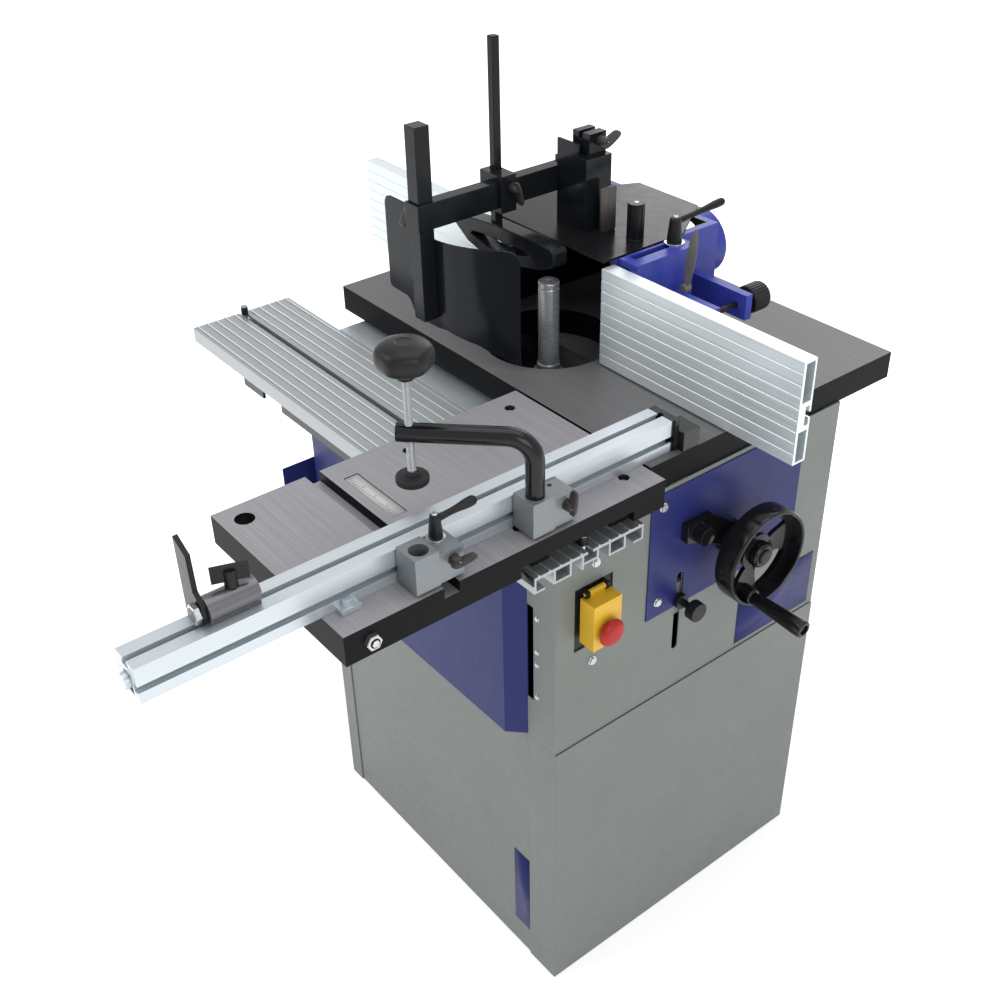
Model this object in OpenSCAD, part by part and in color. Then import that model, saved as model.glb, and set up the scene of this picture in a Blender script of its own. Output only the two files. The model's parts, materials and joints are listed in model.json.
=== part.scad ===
// Spindle moulder with a sliding table, built from separate parts.
// Millimetres, +Z up, the operator stands on the -Y side.
// Origin: centre of the cabinet's footprint, on the floor.

/* [Cabinet] */
// Width of the cabinet, left to right
cab_w = 554; // [545:1:575]
// Depth of the cabinet, front to back
cab_d = 507; // [500:1:530]
// Height of the seam between lower and upper panels
seam_z = 466; // [440:1:480]
// Sheet thickness of the panels
sheet = 2; // [1.5:0.25:2.5]
// Width of the folded post at the right front corner
post_w = 57; // [50:1:60]
// Depth of the blue front cover's pressing
cover_out = 22; // [16:1:28]
// Floor bolt spacing across the cabinet
bolt_dx = 474; // [440:1:490]
// Floor bolt spacing front to back
bolt_dy = 427; // [400:1:440]
// Radius of the floor bolt holes
bolt_hole_r = 6; // [5:0.5:7]

/* [Tables] */
// Height of both table tops above the floor
table_z = 850; // [845:1:870]
// Thickness of the main table at its rim
table_t = 39; // [36:1:42]
// Length of the main table
table_w = 683; // [660:1:700]
// Depth of the main table
table_d = 460; // [450:1:480]
// Main table's front edge to the spindle axis
table_front = 128.5; // [125:0.5:130]
// Thickness of the cast plate between the ribs
table_skin = 12; // [10:1:16]
// Radius of the opening round the spindle
opening_r = 94; // [90:1:98]
// Width of the sliding table
slide_w = 282; // [270:1:290]
// Depth of the sliding table
slide_d = 452; // [440:1:470]
// Gap between the two tables
table_gap = 4; // [2:0.5:6]
// Width of the slot across the sliding table
slide_slot_w = 20; // [16:1:22]
// Depth of the slot across the sliding table
slide_slot_t = 14; // [8:1:16]
// Thickness of the sliding table over the track
slide_over = 24; // [22.5:0.5:26]

/* [Track] */
// Length of the ridged track
track_l = 828; // [780:1:860]
// Width of the ridged track
track_w = 170; // [160:1:175]
// Height of the track's section
track_h = 24; // [20:1:28]
// Wall thickness of the extrusions
wall = 3; // [2.5:0.25:3.5]
// Running gap between the track and the sliding table
track_gap = 10.3; // [9:0.1:12]

/* [Spindle] */
// Arbor radius above the table
arbor_r = 15; // [12.5:0.5:16]
// Height of the arbor above the table
arbor_up = 88; // [80:1:100]
// Outer radius of the quill
quill_r = 45; // [42:1:46]
// Radial running clearance of shafts in their bores
run = 0.05; // [0.03:0.01:0.08]
// Gap between faces of parts that slide past each other
slip = 0.3; // [0.25:0.05:0.5]
// Centre distance of the two pulleys
belt_centres = 130; // [126:1:136]
// Radius of the motor
motor_r = 62; // [56:1:64]
// Gap between the motor and the cabinet's left side
motor_gap = 16; // [12:1:20]
// Height of the motor's body
motor_h = 138; // [120:1:140]

/* [Handwheel] */
// Outer radius of the handwheel
wheel_r = 69; // [64:1:74]
// Width of the handwheel's rim
wheel_w = 32; // [28:1:36]
// Length of the turning handle
handle_l = 84; // [75:1:90]
// Shaft radius
shaft_r = 8; // [7:0.5:8]

/* [Fence] */
// Length of one fence plate
fence_l = 343; // [330:1:350]
// Height of a fence plate
fence_h = 139; // [130:1:145]
// Thickness of a fence plate
fence_t = 22; // [20:1:24]
// Gap from the spindle axis to the end of a plate
fence_gap = 107; // [105:1:115]
// Gap under the fence plates
fence_lift = 2.4; // [1.5:0.1:3]

/* [Guard] */
// Side of the square guard post
post_s = 23; // [20:1:24]
// Height of the horizontal guard bar
bar_h = 36; // [30:1:38]
// Width of the horizontal guard bar
bar_w = 20; // [16:1:22]
// Thickness of the guard's sheet
shield_t = 3; // [2:0.5:4]
// Height of the main part of the shield
shield_h = 148; // [140:1:150]

/* [Mitre fence] */
// Length of the mitre fence
mitre_l = 705; // [680:1:720]
// Width of its section
mitre_w = 41; // [38:1:42]
// Height of its section
mitre_h = 42.7; // [40:0.1:44]
// Radius of the hold-down tube
tube_r = 11; // [9:0.5:11.5]
// Reach of the hold-down arm to its screw
arm_reach = 136; // [120:1:150]

/* [Hidden] */
$fn = 48;

// Colours as the photograph shows them
grey_green = "#a9b4b0";
royal_blue = "#2f3288";
bright_blue = "#3b42a6";
black = "#1b1c1e";
iron = "#5d5a5c";
slide_grey = "#a7a4a6";
aluminium = "#d3d8da";
steel = "#b9bcc0";
yellow = "#e8b41c";
red = "#cf3a30";
green = "#2d8a4a";

// Cabinet faces
right_x = cab_w / 2;
left_x = -right_x;
front_y = -cab_d / 2;
back_y = cab_d / 2;
upper_x = right_x - sheet;
under_z = table_z - table_t;

// Spindle axis, which is also the fence's face and the main table's centre
motor_x = left_x + motor_gap + motor_r;
sx = motor_x + belt_centres;
sy = front_y + 279.5;
spindle_top = table_z + arbor_up;

// Main table
table_x0 = sx - table_w / 2;
table_x1 = sx + table_w / 2;
table_y0 = sy - table_front;
table_y1 = table_y0 + table_d;

// Sliding table
slide_x0 = sx + 89;
slide_x1 = slide_x0 + slide_w;
slide_y1 = table_y0 - table_gap;
slide_y0 = slide_y1 - slide_d;
slide_t = table_t;
slot_back_y = slide_y0 + 146.5;
slide_skin = 15;
slide_plate = slide_skin + slide_slot_t / 2;
slide_hole_r = 12;

// Track, with its T slot on its centre line
track_top = table_z - slide_t - track_gap;
track_bot = track_top - track_h;
track_x1 = right_x + 22.8;
track_x0 = track_x1 - track_l;
track_y0 = front_y - 53.5;
track_y1 = track_y0 + track_w;
track_mid = (track_y0 + track_y1) / 2;
ridge = 1.5;
front_rail_in = 262;
rail_y1 = table_y0 + 30;

// Control panel behind the handwheel
panel_in = 153;
panel_w = 283;

// Handwheel and its shaft, whose axis runs along X
wheel_y = sy + 20.5;
wheel_z = under_z - 126;
wheel_x0 = right_x + 40;
wheel_x1 = wheel_x0 + wheel_w;
handle_a = 247;
handle_at = wheel_r - 12;
wheel_rim = 5;
kidney_r0 = 26;
kidney_r1 = wheel_r - 14;
kidney_half = 36.25;
wheel_web = 9;

// Lift screw, beside the quill
screw_x = sx + 89;
bevel_r = 16;
bevel_f = 7;
gear_gap = 0.4;

// Height lock: a stud through a slot in the right side
lock_y = front_y + 212.5;
lock_z = under_z - 191;
lock_r = 5;
lock_down = 80;
lock_up = 40;

// Heights of the running gear at rest
pulley_z0 = under_z - 239;
pulley_z1 = pulley_z0 + 32;
quill_z0 = pulley_z1 + 3;
quill_z1 = under_z - 36;
bearing_h = 16;
bearing_r = 31;
motor_pulley_r = 57;
spindle_pulley_r = 25;
groove = 5;
belt_t = 8;
belt_w = 9.4;
step_h = (pulley_z1 - pulley_z0) / 3;
way_y0 = sy + 70;
way_t = 20;
way_x0 = sx - 60;
way_x1 = sx + 60;
column_bot = under_z - 313;
arm_t = 12;
nut_z0 = column_bot + arm_t + lock_down + 2;
nut_z1 = quill_z0 + 5;

// Fence and hood behind it
plate_y1 = sy + fence_t;
fence_z0 = table_z + fence_lift;
fence_z1 = fence_z0 + fence_h;
fence_slot_z = fence_z0 + 60;
fence_slot_h = 8;
hood_x = sx - 14;
hood_half = 120;
hood_y0 = plate_y1 + 4;
hood_y1 = sy + 220;
hood_z1 = fence_z1 + 5.5;
hood_wall = 12;
top_t = 3;
hood_right = hood_x + hood_half;
hood_left = hood_x - hood_half;
port_x = sx + 50;
port_z = table_z + 96;
port_r = 48;
port_l = 30;
pin_r = 12;
pin_h = 50;
face_t = 8;
ledge_z1 = hood_z1 - 9.5;
flange_t = 10;
stud_y = sy + 121.5;
stud_x = hood_right + 12;
stud_r = 5;
micro_x = sx + 202;
micro_z = table_z + 75;
micro_r = 4;
micro_bar_y = sy + 160;

// Guard, hung from the column on the hood
column_x1 = sx + 14.5;
column_w = 60;
column_x0 = column_x1 - column_w;
column_y0 = sy + 53;
column_d = 46;
column_z0 = hood_z1 + top_t;
column_h = 100;
bar_z1 = column_z0 + 77.5;
bar_z0 = bar_z1 - bar_h;
bar_x1 = column_x0 - slip;
bar_x0 = bar_x1 - bar_w;
socket_s = post_s + 7;
socket_y0 = sy - 181;
post_x = bar_x1 - socket_s / 2;
post_y = socket_y0 + socket_s / 2;
bar_y1 = sy + 104;
post_top = bar_z1 + 100;
tube_z0 = table_z + 62;
shield_left = 132;
shield_right = 94;
shield_z0 = table_z + 7;
shield_z1 = shield_z0 + shield_h;
shoe_rod = 12;
rod_x = bar_x0 - 2 - shoe_rod / 2;
rod_y = sy - 31.5;
rod_top = bar_z1 + 183;
shoe_z = table_z + 112;
shoe_d = 25;

// Mitre fence on the sliding table
mitre_x1 = slide_x1 - 41;
mitre_x0 = mitre_x1 - mitre_w;
mitre_y1 = slide_y1 + 53;
mitre_y0 = mitre_y1 - mitre_l;
mitre_z0 = table_z + slip;
mitre_z1 = mitre_z0 + mitre_h;
mitre_mid = (mitre_x0 + mitre_x1) / 2;
pivot_x = mitre_x1 + 4.5;
pivot_y = slide_y0 + 29.5;
pivot_r = 6;
ring_r = tube_r + 4.5;
ring_x = mitre_x1 + slip + 11 + tube_r;
clamp_y = slide_y0 + 267;
spare_y = slide_y0 + 109.5;
block_z0 = mitre_z0 + 3;
block_z1 = mitre_z1 + 5;
block_l = 48;
arm_z = table_z + 122;
arm_a = 225;
pad_z = table_z + 64;
knob_z = table_z + 214;
bend_r = 30;
lever_x = mitre_x1 + slip + 8;
pad_x = ring_x + arm_reach * cos(arm_a);
pad_y = clamp_y + arm_reach * sin(arm_a);
clamp_screw_r = 5;
stop_y = slide_y0 - 113.5;
stop_r = 14;
stop_z = mitre_z1 + stop_r + 0.5;

// Box between two corners
module block(lo, hi) translate(lo) cube(hi - lo);

// Cylinders along the three axes
module rod_z(r, x, y, z0, z1) translate([x, y, z0]) cylinder(r = r, h = z1 - z0);
module rod_x_axis(r, y, z, x0, x1)
    translate([x0, y, z]) rotate([0, 90, 0]) cylinder(r = r, h = x1 - x0);
module rod_y_axis(r, x, z, y0, y1)
    translate([x, y0, z]) rotate([-90, 0, 0]) cylinder(r = r, h = y1 - y0);

// Section drawn with x = Y and y = Z, pulled along X
module along_x(x0, x1)
    translate([x0, 0, 0]) rotate([90, 0, 90]) linear_extrude(x1 - x0) children();

// Section drawn with x = X and y = Z, pulled along Y
module along_y(y0, y1)
    translate([0, y1, 0]) rotate([90, 0, 0]) linear_extrude(y1 - y0) children();

// Rectangle between two corners
module rect(lo, hi) translate(lo) square(hi - lo);

module cabinet_base() color(grey_green) difference() {
    block([left_x + sheet, front_y + 2 * sheet, 0], [right_x - sheet, back_y - sheet, 2 * sheet]);
    for (x = [-1, 1], y = [-1, 1])
        rod_z(bolt_hole_r, x * bolt_dx / 2, y * bolt_dy / 2, -1, 2 * sheet + 1);
}

// A side sheet is lower under the track than under the main table
module side_sheet(x0, x1, z0, step_y) {
    block([x0, front_y, z0], [x1, back_y, track_bot]);
    block([x0, step_y, z0], [x1, back_y, under_z]);
}

module cabinet_left() color(grey_green) {
    side_sheet(left_x, left_x + sheet, 0, rail_y1 + 2);
    block([left_x, front_y, 0], [left_x + 30, front_y + sheet, seam_z]);
    block([left_x, front_y, seam_z], [left_x + 10, front_y + sheet, track_bot]);
}

module cabinet_right_lower() color(grey_green) {
    block([right_x - sheet, front_y, 0], [right_x, back_y, seam_z]);
    block([right_x - post_w, front_y, 0], [right_x, front_y + sheet, seam_z]);
}

module lock_slot(x0, x1) {
    block([x0, lock_y - lock_r - 0.5, lock_z - lock_down], [x1, lock_y + lock_r + 0.5, lock_z + lock_up]);
    for (z = [lock_z - lock_down, lock_z + lock_up]) rod_x_axis(lock_r + 0.5, lock_y, z, x0, x1);
}

switch_y0 = front_y + 30.5;
switch_y1 = switch_y0 + 62;
switch_z0 = under_z - 185;
switch_z1 = under_z - 87;

module cabinet_right_upper() color(grey_green) difference() {
    union() {
        side_sheet(upper_x - sheet, upper_x, seam_z, track_y1 + 2);
        block([right_x - post_w, front_y, seam_z], [upper_x, front_y + sheet, track_bot]);
    }
    block([upper_x - sheet - 1, switch_y0, switch_z0], [upper_x + 1, switch_y1, switch_z1]);
    block([right_x - post_w - 1, front_y - 1, seam_z + 68],
          [right_x - post_w + 12, front_y + sheet + 1, seam_z + 222]);
    lock_slot(upper_x - sheet - 1, upper_x + 1);
    rod_x_axis(shaft_r + 4, wheel_y, wheel_z, upper_x - sheet - 1, upper_x + 1);
}

module cabinet_rear() color(grey_green)
    block([left_x + sheet, back_y - sheet, 0], [upper_x - sheet, back_y, under_z]);

module cabinet_front() color(grey_green)
    block([left_x + sheet, front_y + sheet, 0], [right_x - sheet, front_y + 2 * sheet, seam_z]);

// Pressed cover between the posts, with bevelled ends and a side plate at the left
module front_cover() color(royal_blue) {
    x0 = left_x + 10;
    x1 = right_x - post_w;
    translate([0, 0, seam_z]) linear_extrude(track_bot - 10 - seam_z) polygon([
        [x0, front_y + sheet], [x0, front_y], [x0 + cover_out, front_y - cover_out],
        [x1 - cover_out, front_y - cover_out], [x1, front_y], [x1, front_y + sheet],
        [x1 - sheet, front_y + sheet], [x1 - sheet, front_y + 0.4 * sheet],
        [x1 - cover_out - 0.4 * sheet, front_y - cover_out + sheet],
        [x0 + cover_out + 0.4 * sheet, front_y - cover_out + sheet],
        [x0 + sheet, front_y + 0.4 * sheet], [x0 + sheet, front_y + sheet]]);
    block([left_x, front_y - 60, seam_z], [left_x + sheet, front_y, seam_z + 200]);
}

// Rails across the cabinet that carry the track and the main table
module table_frame() color(grey_green) {
    rail = 30;
    x0 = left_x + sheet;
    x1 = upper_x - sheet;
    block([x0, front_y + sheet, track_bot - rail], [x1, front_y + sheet + rail, track_bot]);
    block([x0, rail_y1 + 4, under_z - rail], [x1, rail_y1 + 4 + rail, under_z]);
    block([x0, back_y - sheet - rail, under_z - rail], [x1, back_y - sheet, under_z]);
}

// Iron casting: a thin plate on a grid of ribs
module ribbed_plate(lo, hi, cols, rows, skin, rim) {
    pitch_x = (hi[0] - lo[0] - rim) / cols;
    pitch_y = (hi[1] - lo[1] - rim) / rows;
    difference() {
        block(lo, hi);
        for (i = [0 : cols - 1], j = [0 : rows - 1])
            block([lo[0] + rim + i * pitch_x, lo[1] + rim + j * pitch_y, lo[2] - 1],
                  [lo[0] + (i + 1) * pitch_x, lo[1] + (j + 1) * pitch_y, hi[2] - skin]);
    }
}

module main_table() color(iron) difference() {
    union() {
        ribbed_plate([table_x0, table_y0, under_z], [table_x1, table_y1, table_z], 6, 4, table_skin, 12);
        rod_z(opening_r + 12, sx, sy, under_z, table_z);
        block([way_x0 - 20, way_y0 - 6, under_z], [way_x1 + 20, way_y0 + 64, table_z]);
    }
    rod_z(opening_r, sx, sy, under_z - 1, table_z + 1);
}

// Ridged track with a T slot, hollow below
module track_section() {
    plate = 4;
    z1 = track_top - ridge;
    half = track_w / 2;
    slot = 8;
    difference() {
        union() {
            rect([track_y0, z1 - plate], [track_y1, z1]);
            for (s = [-1, 1], k = [0 : 4])
                rect([track_mid + s * (14 + 16 * k) - 1.2, z1 - 0.1],
                     [track_mid + s * (14 + 16 * k) + 1.2, track_top]);
            for (d = [-half, -56, -32, -13, 10, 29, 53, half - wall])
                rect([track_mid + d, track_bot], [track_mid + d + wall, z1 - 0.1]);
            rect([track_mid - 13, track_bot + 6], [track_mid + 13, track_bot + 6 + wall]);
            for (s = [-1, 1]) translate([track_mid, 0]) scale([s, 1]) {
                rect([29, track_bot], [56, track_bot + wall]);
                rect([half - 16, track_bot], [half, track_bot + wall]);
            }
        }
        rect([track_mid - slot / 2, z1 - plate - 1], [track_mid + slot / 2, track_top + 1]);
    }
}

module track_beam() color(aluminium) along_x(track_x0, track_x1) track_section();

// Smooth inner rail, and the dark bar under the track's front edge
module track_rails() {
    color(aluminium)
        block([track_x0 + 155, track_y1 + 0.2, track_top - 14], [right_x - 10, rail_y1, track_top]);
    color(black)
        block([track_x0 + front_rail_in, track_y0, track_bot - 12], [track_x1 - 100, track_y0 + 12, track_bot]);
    color(black) block([track_x0 + 154, track_y0, track_bot - 12], [track_x0 + 210, track_y0 + 4, track_bot]);
}

panel_y0 = front_y + panel_in;
panel_y1 = panel_y0 + panel_w;
panel_z0 = under_z - 199;
module control_panel() color(royal_blue) difference() {
    along_x(upper_x, upper_x + sheet) rect([panel_y0, panel_z0], [panel_y1, under_z - 6]);
    lock_slot(upper_x - 1, upper_x + sheet + 1);
    rod_x_axis(shaft_r + 4, wheel_y, wheel_z, upper_x - 1, upper_x + sheet + 1);
}

// Cap screw in the track's slot that stops the sliding table
module stop_bolt(x) {
    rod_z(4, x, track_mid, track_top - 12, track_top + 1);
    rod_z(5.3, x, track_mid, track_top, track_top + 13);
}

// Domed screw heads on the panels, and a stop bolt at each end of the track
module fixings() color(steel) {
    for (p = [[switch_y0 + 33, switch_z1 + 28], [switch_y0 + 31, switch_z0 - 29]])
        rod_x_axis(5, p[0], p[1], upper_x, upper_x + 3);
    for (p = [[panel_y0 + 20, panel_z0 + 173], [panel_y0 + 19, panel_z0 + 24],
              [panel_y1 - 20, panel_z0 + 24], [panel_y1 - 20, panel_z0 + 173]])
        rod_x_axis(5, p[0], p[1], upper_x + sheet, upper_x + sheet + 3);
    for (z = [79, 134, 155, 209]) rod_y_axis(3, right_x - 37, seam_z + z, front_y - 2, front_y);
    stop_bolt(track_x0 + 11);
    stop_bolt(track_x1 - 14);
}

cover_y0 = switch_y0 + 6;
cover_y1 = switch_y1 - 11;
cover_z0 = switch_z0 + 17;
cover_z1 = switch_z1 - 12;
cover_x0 = upper_x + 3;
cover_x1 = cover_x0 + 26;
hinge_x = cover_x0 + 4;
hinge_z = cover_z1 + 6;
stop_button_z = cover_z0 + 25;
start_z = cover_z0 + 49;
switch_mid = (cover_y0 + cover_y1) / 2;
gland_r = 12;
gland_z = 300;

// Black switch body behind the opening, the lugs of the flap's hinge, and the cable gland at the rear
module switch_box() color(black) {
    x1 = upper_x - sheet;
    difference() {
        block([x1 - 50, switch_y0 - 10, switch_z0 - 10], [x1, switch_y1 + 10, switch_z1 + 10]);
        rod_x_axis(9 + slip, switch_mid, start_z, x1 - 12, x1 + 1);
    }
    for (y = [cover_y0 + 3, cover_y1 - 9]) difference() {
        block([x1, y, hinge_z - 4], [hinge_x + 4, y + 6, hinge_z + 4]);
        rod_y_axis(2 + run, hinge_x, hinge_z, y - 1, y + 7);
    }
    rod_y_axis(gland_r, left_x + 90, gland_z, back_y, back_y + 14);
}

// Lugged bearing block of the handwheel's shaft
module shaft_bearing() color(black) difference() {
    x0 = upper_x + sheet;
    union() {
        rod_x_axis(24, wheel_y, wheel_z, x0, x0 + 22);
        along_x(x0, x0 + 12) polygon([
            [wheel_y + 8, wheel_z + 20], [wheel_y - 24, wheel_z], [wheel_y - 60, wheel_z + 24],
            [wheel_y - 92, wheel_z + 34], [wheel_y - 92, wheel_z + 60], [wheel_y - 46, wheel_z + 60]]);
        rod_x_axis(13, wheel_y - 74, wheel_z + 46, x0, x0 + 30);
    }
    rod_x_axis(shaft_r + run, wheel_y, wheel_z, x0 - 1, x0 + 40);
}

// Cast hood: two cheeks, a back with the dust port, and the ledge for the infeed side
module hood_body() color(bright_blue) difference() {
    union() {
        block([hood_left, hood_y0, table_z], [hood_left + hood_wall, hood_y1, hood_z1]);
        block([hood_right - hood_wall, hood_y0, table_z], [hood_right, hood_y1, hood_z1]);
        block([hood_left, hood_y1 - hood_wall, table_z], [hood_right, hood_y1, hood_z1]);
        rod_y_axis(port_r, port_x, port_z, hood_y1 - hood_wall, hood_y1 + port_l);
        block([hood_right - 1, stud_y - 30, ledge_z1 - 10], [stud_x + 9, stud_y + 20, ledge_z1]);
        block([hood_right - 1, micro_bar_y, micro_z - 18], [micro_x + 18, micro_bar_y + 12, micro_z + 18]);
        rod_z(stud_r, stud_x, stud_y, ledge_z1 - 1, ledge_z1 + flange_t + 14);
    }
    rod_y_axis(port_r - 3, port_x, port_z, hood_y1 - hood_wall - 1, hood_y1 + port_l + 1);
    rod_y_axis(micro_r + run, micro_x, micro_z, micro_bar_y - 1, micro_bar_y + 13);
}

// Black cover plate on the hood
module hood_top() color(black) union() {
    back_half = 61;
    translate([0, 0, hood_z1]) linear_extrude(top_t) polygon([
        [hood_left, sy + 3], [hood_right, sy + 3], [hood_right, sy + 150],
        [hood_x + back_half, hood_y1 + 20], [hood_x - back_half, hood_y1 + 20],
        [hood_x - back_half - 19, hood_y1 - 20], [hood_left, sy + 150]]);
    rod_z(pin_r, hood_x + 88, sy + 90.5, hood_z1 + top_t - 0.1, hood_z1 + top_t + pin_h);
    block([hood_x + 44, sy + 66, hood_z1 + top_t - 0.1], [hood_x + 48, sy + 90, hood_z1 + top_t + 62]);
}

// Square column, with a sleeve for the bar at its left and a clamp head on top
module guard_column() color(black) difference() {
    sleeve_y0 = column_y0 + 18;
    sleeve_y1 = column_y0 + column_d;
    head_z1 = column_z0 + column_h + 30;
    union() {
        block([column_x0, column_y0, column_z0], [column_x1, column_y0 + column_d, column_z0 + column_h]);
        block([column_x0, column_y0, column_z0], [column_x0 + 42, column_y0 + 4, column_z0 + column_h + 17]);
        block([column_x0 + 18, column_y0 + 12, column_z0 + column_h - 1],
              [column_x1 - 8, column_y0 + column_d - 4, head_z1]);
        block([bar_x0 - slip - 5, sleeve_y0, bar_z0 - slip - 5], [column_x0 + 1, sleeve_y1, bar_z1 + slip + 5]);
    }
    block([column_x0 + 5, column_y0 + 5, column_z0 - 1],
          [column_x1 - 5, column_y0 + column_d - 5, column_z0 + column_h - 8]);
    block([column_x0 + 30, column_y0 + 10, head_z1 - 10], [column_x0 + 38, column_y0 + column_d, head_z1 + 1]);
    block([bar_x0 - slip, sleeve_y0 - 1, bar_z0 - slip], [column_x0, sleeve_y1 + 1, bar_z1 + slip]);
    rod_x_axis(4 + run, column_y0 + 30, head_z1 - 11, column_x1 - 30, column_x1 + 1);
}

// Wing knob: hub, two wings and a short stud, along +Z from its seat at the origin
module wing_knob(stud_r, stud_l, wing_l = 17, hub_l = 16) {
    rod_z(stud_r, 0, 0, -stud_l, 1);
    rod_z(7, 0, 0, 0, hub_l);
    block([-wing_l, -3, hub_l * 0.35], [wing_l, 3, hub_l + 4]);
}

module column_knob() color(black)
    translate([column_x1 - 8 + slip, column_y0 + 30, column_z0 + column_h + 19])
        rotate([0, 90, 0]) rotate([0, 0, 25]) wing_knob(4, 14);

// Left bracket: a face for the fence plate and a rib back to the hood
module outfeed_bracket() color(bright_blue) {
    x1 = hood_left - slip;
    block([x1 - 86, plate_y1 + slip, table_z + 20], [x1, plate_y1 + face_t, fence_z1 - 16]);
    block([x1 - hood_wall, plate_y1 + face_t - 1, table_z + 0.5], [x1, sy + 135, fence_z1 - 6]);
    block([x1 - hood_wall - 24, plate_y1 + face_t - 1, table_z + 0.5], [x1, sy + 135, table_z + 12]);
}

// Bracket under the main table: ways for the carriage, bearings for screw and shaft
module slide_column() color(iron) difference() {
    web_x1 = screw_x + 52;
    union() {
        block([way_x0 - 20, way_y0 - 6, under_z - 14], [way_x1 + 20, way_y0 + 64, under_z]);
        block([way_x0, way_y0, column_bot], [way_x1, way_y0 + way_t, under_z - 13]);
        block([way_x1 - 1, way_y0 + 4, column_bot], [web_x1, way_y0 + way_t, wheel_z + 33]);
        block([screw_x - 14, wheel_y - 14, wheel_z + 21], [screw_x + 16, way_y0 + 5, wheel_z + 33]);
        block([screw_x - 14, wheel_y - 14, column_bot], [screw_x + 16, way_y0 + 5, column_bot + arm_t]);
        block([web_x1 - arm_t, wheel_y - 16, wheel_z - 17], [web_x1, way_y0 + 5, wheel_z + 17]);
    }
    rod_z(shaft_r - 1 + run, screw_x, wheel_y, wheel_z + 20, wheel_z + 34);
    rod_z(shaft_r + run, screw_x, wheel_y, column_bot - 1, column_bot + arm_t + 1);
    rod_x_axis(shaft_r + run, wheel_y, wheel_z, web_x1 - arm_t - 1, web_x1 + 1);
}

// Carriage: quill, slide, motor plate, nut arm and the bar to the height lock
module spindle_carriage() color(iron) difference() {
    arm_x1 = upper_x - sheet - slip;
    union() {
        rod_z(quill_r, sx, sy, quill_z0, quill_z1);
        block([way_x0 + 10, sy + 20, quill_z0], [way_x1 - 10, way_y0 - slip, quill_z0 + 135]);
        block([motor_x - 46, sy - 46, quill_z0], [sx, sy + 46, quill_z0 + 12]);
        block([way_x1 - 30, sy + 50, nut_z0], [screw_x + 14, way_y0 - slip, nut_z1]);
        block([screw_x - 14, wheel_y - 14, nut_z0], [screw_x + 14, way_y0 - slip, nut_z1]);
        block([sx + 20, lock_y - 5, lock_z - 15], [arm_x1, lock_y + 5, lock_z + 15]);
        block([sx + 20, lock_y - 5, lock_z - 12], [sx + 34, sy, lock_z + 12]);
        block([arm_x1 - 8, lock_y - 14, lock_z - 26], [arm_x1, lock_y + 14, lock_z + 26]);
    }
    rod_z(arbor_r + 3, sx, sy, quill_z0 - 1, quill_z1 + 1);
    for (z = [quill_z0 - 0.01, quill_z1 - bearing_h])
        rod_z(bearing_r + 0.02, sx, sy, z, z + bearing_h + 0.01);
    rod_z(shaft_r + run, screw_x, wheel_y, nut_z0 - 1, nut_z1 + 1);
    rod_z(10, motor_x, sy, quill_z0 - 1, quill_z0 + 13);
    rod_x_axis(lock_r + run, lock_y, lock_z, arm_x1 - 30, arm_x1 + 1);
}

module spindle_bearings() color(steel) for (z = [quill_z0, quill_z1 - bearing_h]) difference() {
    rod_z(bearing_r, sx, sy, z, z + bearing_h);
    rod_z(arbor_r + run, sx, sy, z - 1, z + bearing_h + 1);
}

module motor() color(iron) difference() {
    z0 = quill_z0 + 12;
    union() {
        rod_z(motor_r, motor_x, sy, z0, z0 + motor_h);
        block([motor_x - 30, sy - motor_r - 22, z0 + 40], [motor_x + 30, sy - motor_r + 10, z0 + 100]);
    }
    rod_z(9.5 + run, motor_x, sy, z0 - 1, z0 + 60);
}

// Belt round the two middle grooves
module belt_outline(grow) hull() {
    translate([motor_x, sy]) circle(motor_pulley_r - groove + grow, $fn = 64);
    translate([sx, sy]) circle(spindle_pulley_r - groove + grow, $fn = 64);
}

module drive_belt() color(black)
    translate([0, 0, pulley_z0 + 1.5 * step_h - belt_w / 2]) linear_extrude(belt_w) difference() {
        belt_outline(slip + belt_t);
        belt_outline(slip);
    }

// Three-step pulley; each step has one groove for the belt
module pulley(x, r, change) for (i = [0 : 2]) {
    z = pulley_z0 + i * step_h;
    rim = r + (i - 1) * change;
    translate([x, sy, z]) rotate_extrude() polygon([
        [0, 0], [rim, 0], [rim - groove, 0.3], [rim - groove, step_h - 0.3], [rim, step_h], [0, step_h]]);
}

// Arbor with its shoulder, washer and cap screw, and the pulley keyed on its lower end
module spindle_arbor() color(steel) difference() {
    union() {
        translate([sx, sy, 0]) rotate_extrude() polygon([
            [0, pulley_z0 - 10], [arbor_r - 4, pulley_z0 - 10], [arbor_r - 4, pulley_z1], [arbor_r, quill_z0],
            [arbor_r, quill_z1 + 4], [arbor_r + 7, quill_z1 + 4], [arbor_r + 7, table_z - 50],
            [arbor_r + 2, table_z - 46], [arbor_r + 2, table_z - 38], [arbor_r, table_z - 38],
            [arbor_r, spindle_top - 10], [arbor_r - 1.5, spindle_top - 9],
            [arbor_r, spindle_top - 7], [arbor_r, spindle_top - 1], [arbor_r - 1, spindle_top],
            [0, spindle_top]]);
        pulley(sx, spindle_pulley_r, -4);
    }
    rod_z(5, sx, sy, spindle_top - 7, spindle_top + 1);
}

module motor_pulley() color(steel) {
    pulley(motor_x, motor_pulley_r, 5);
    rod_z(9.5, motor_x, sy, pulley_z0 - 4, quill_z0 + 68);
}

module height_lock_knob() color(black) union() {
    rod_x_axis(lock_r, lock_y, lock_z, upper_x - sheet - slip - 28, upper_x + 34);
    rod_x_axis(11, lock_y, lock_z, upper_x + sheet + slip, upper_x + sheet + 8);
    rod_x_axis(14, lock_y, lock_z, upper_x + 26, upper_x + 40);
}

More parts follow.
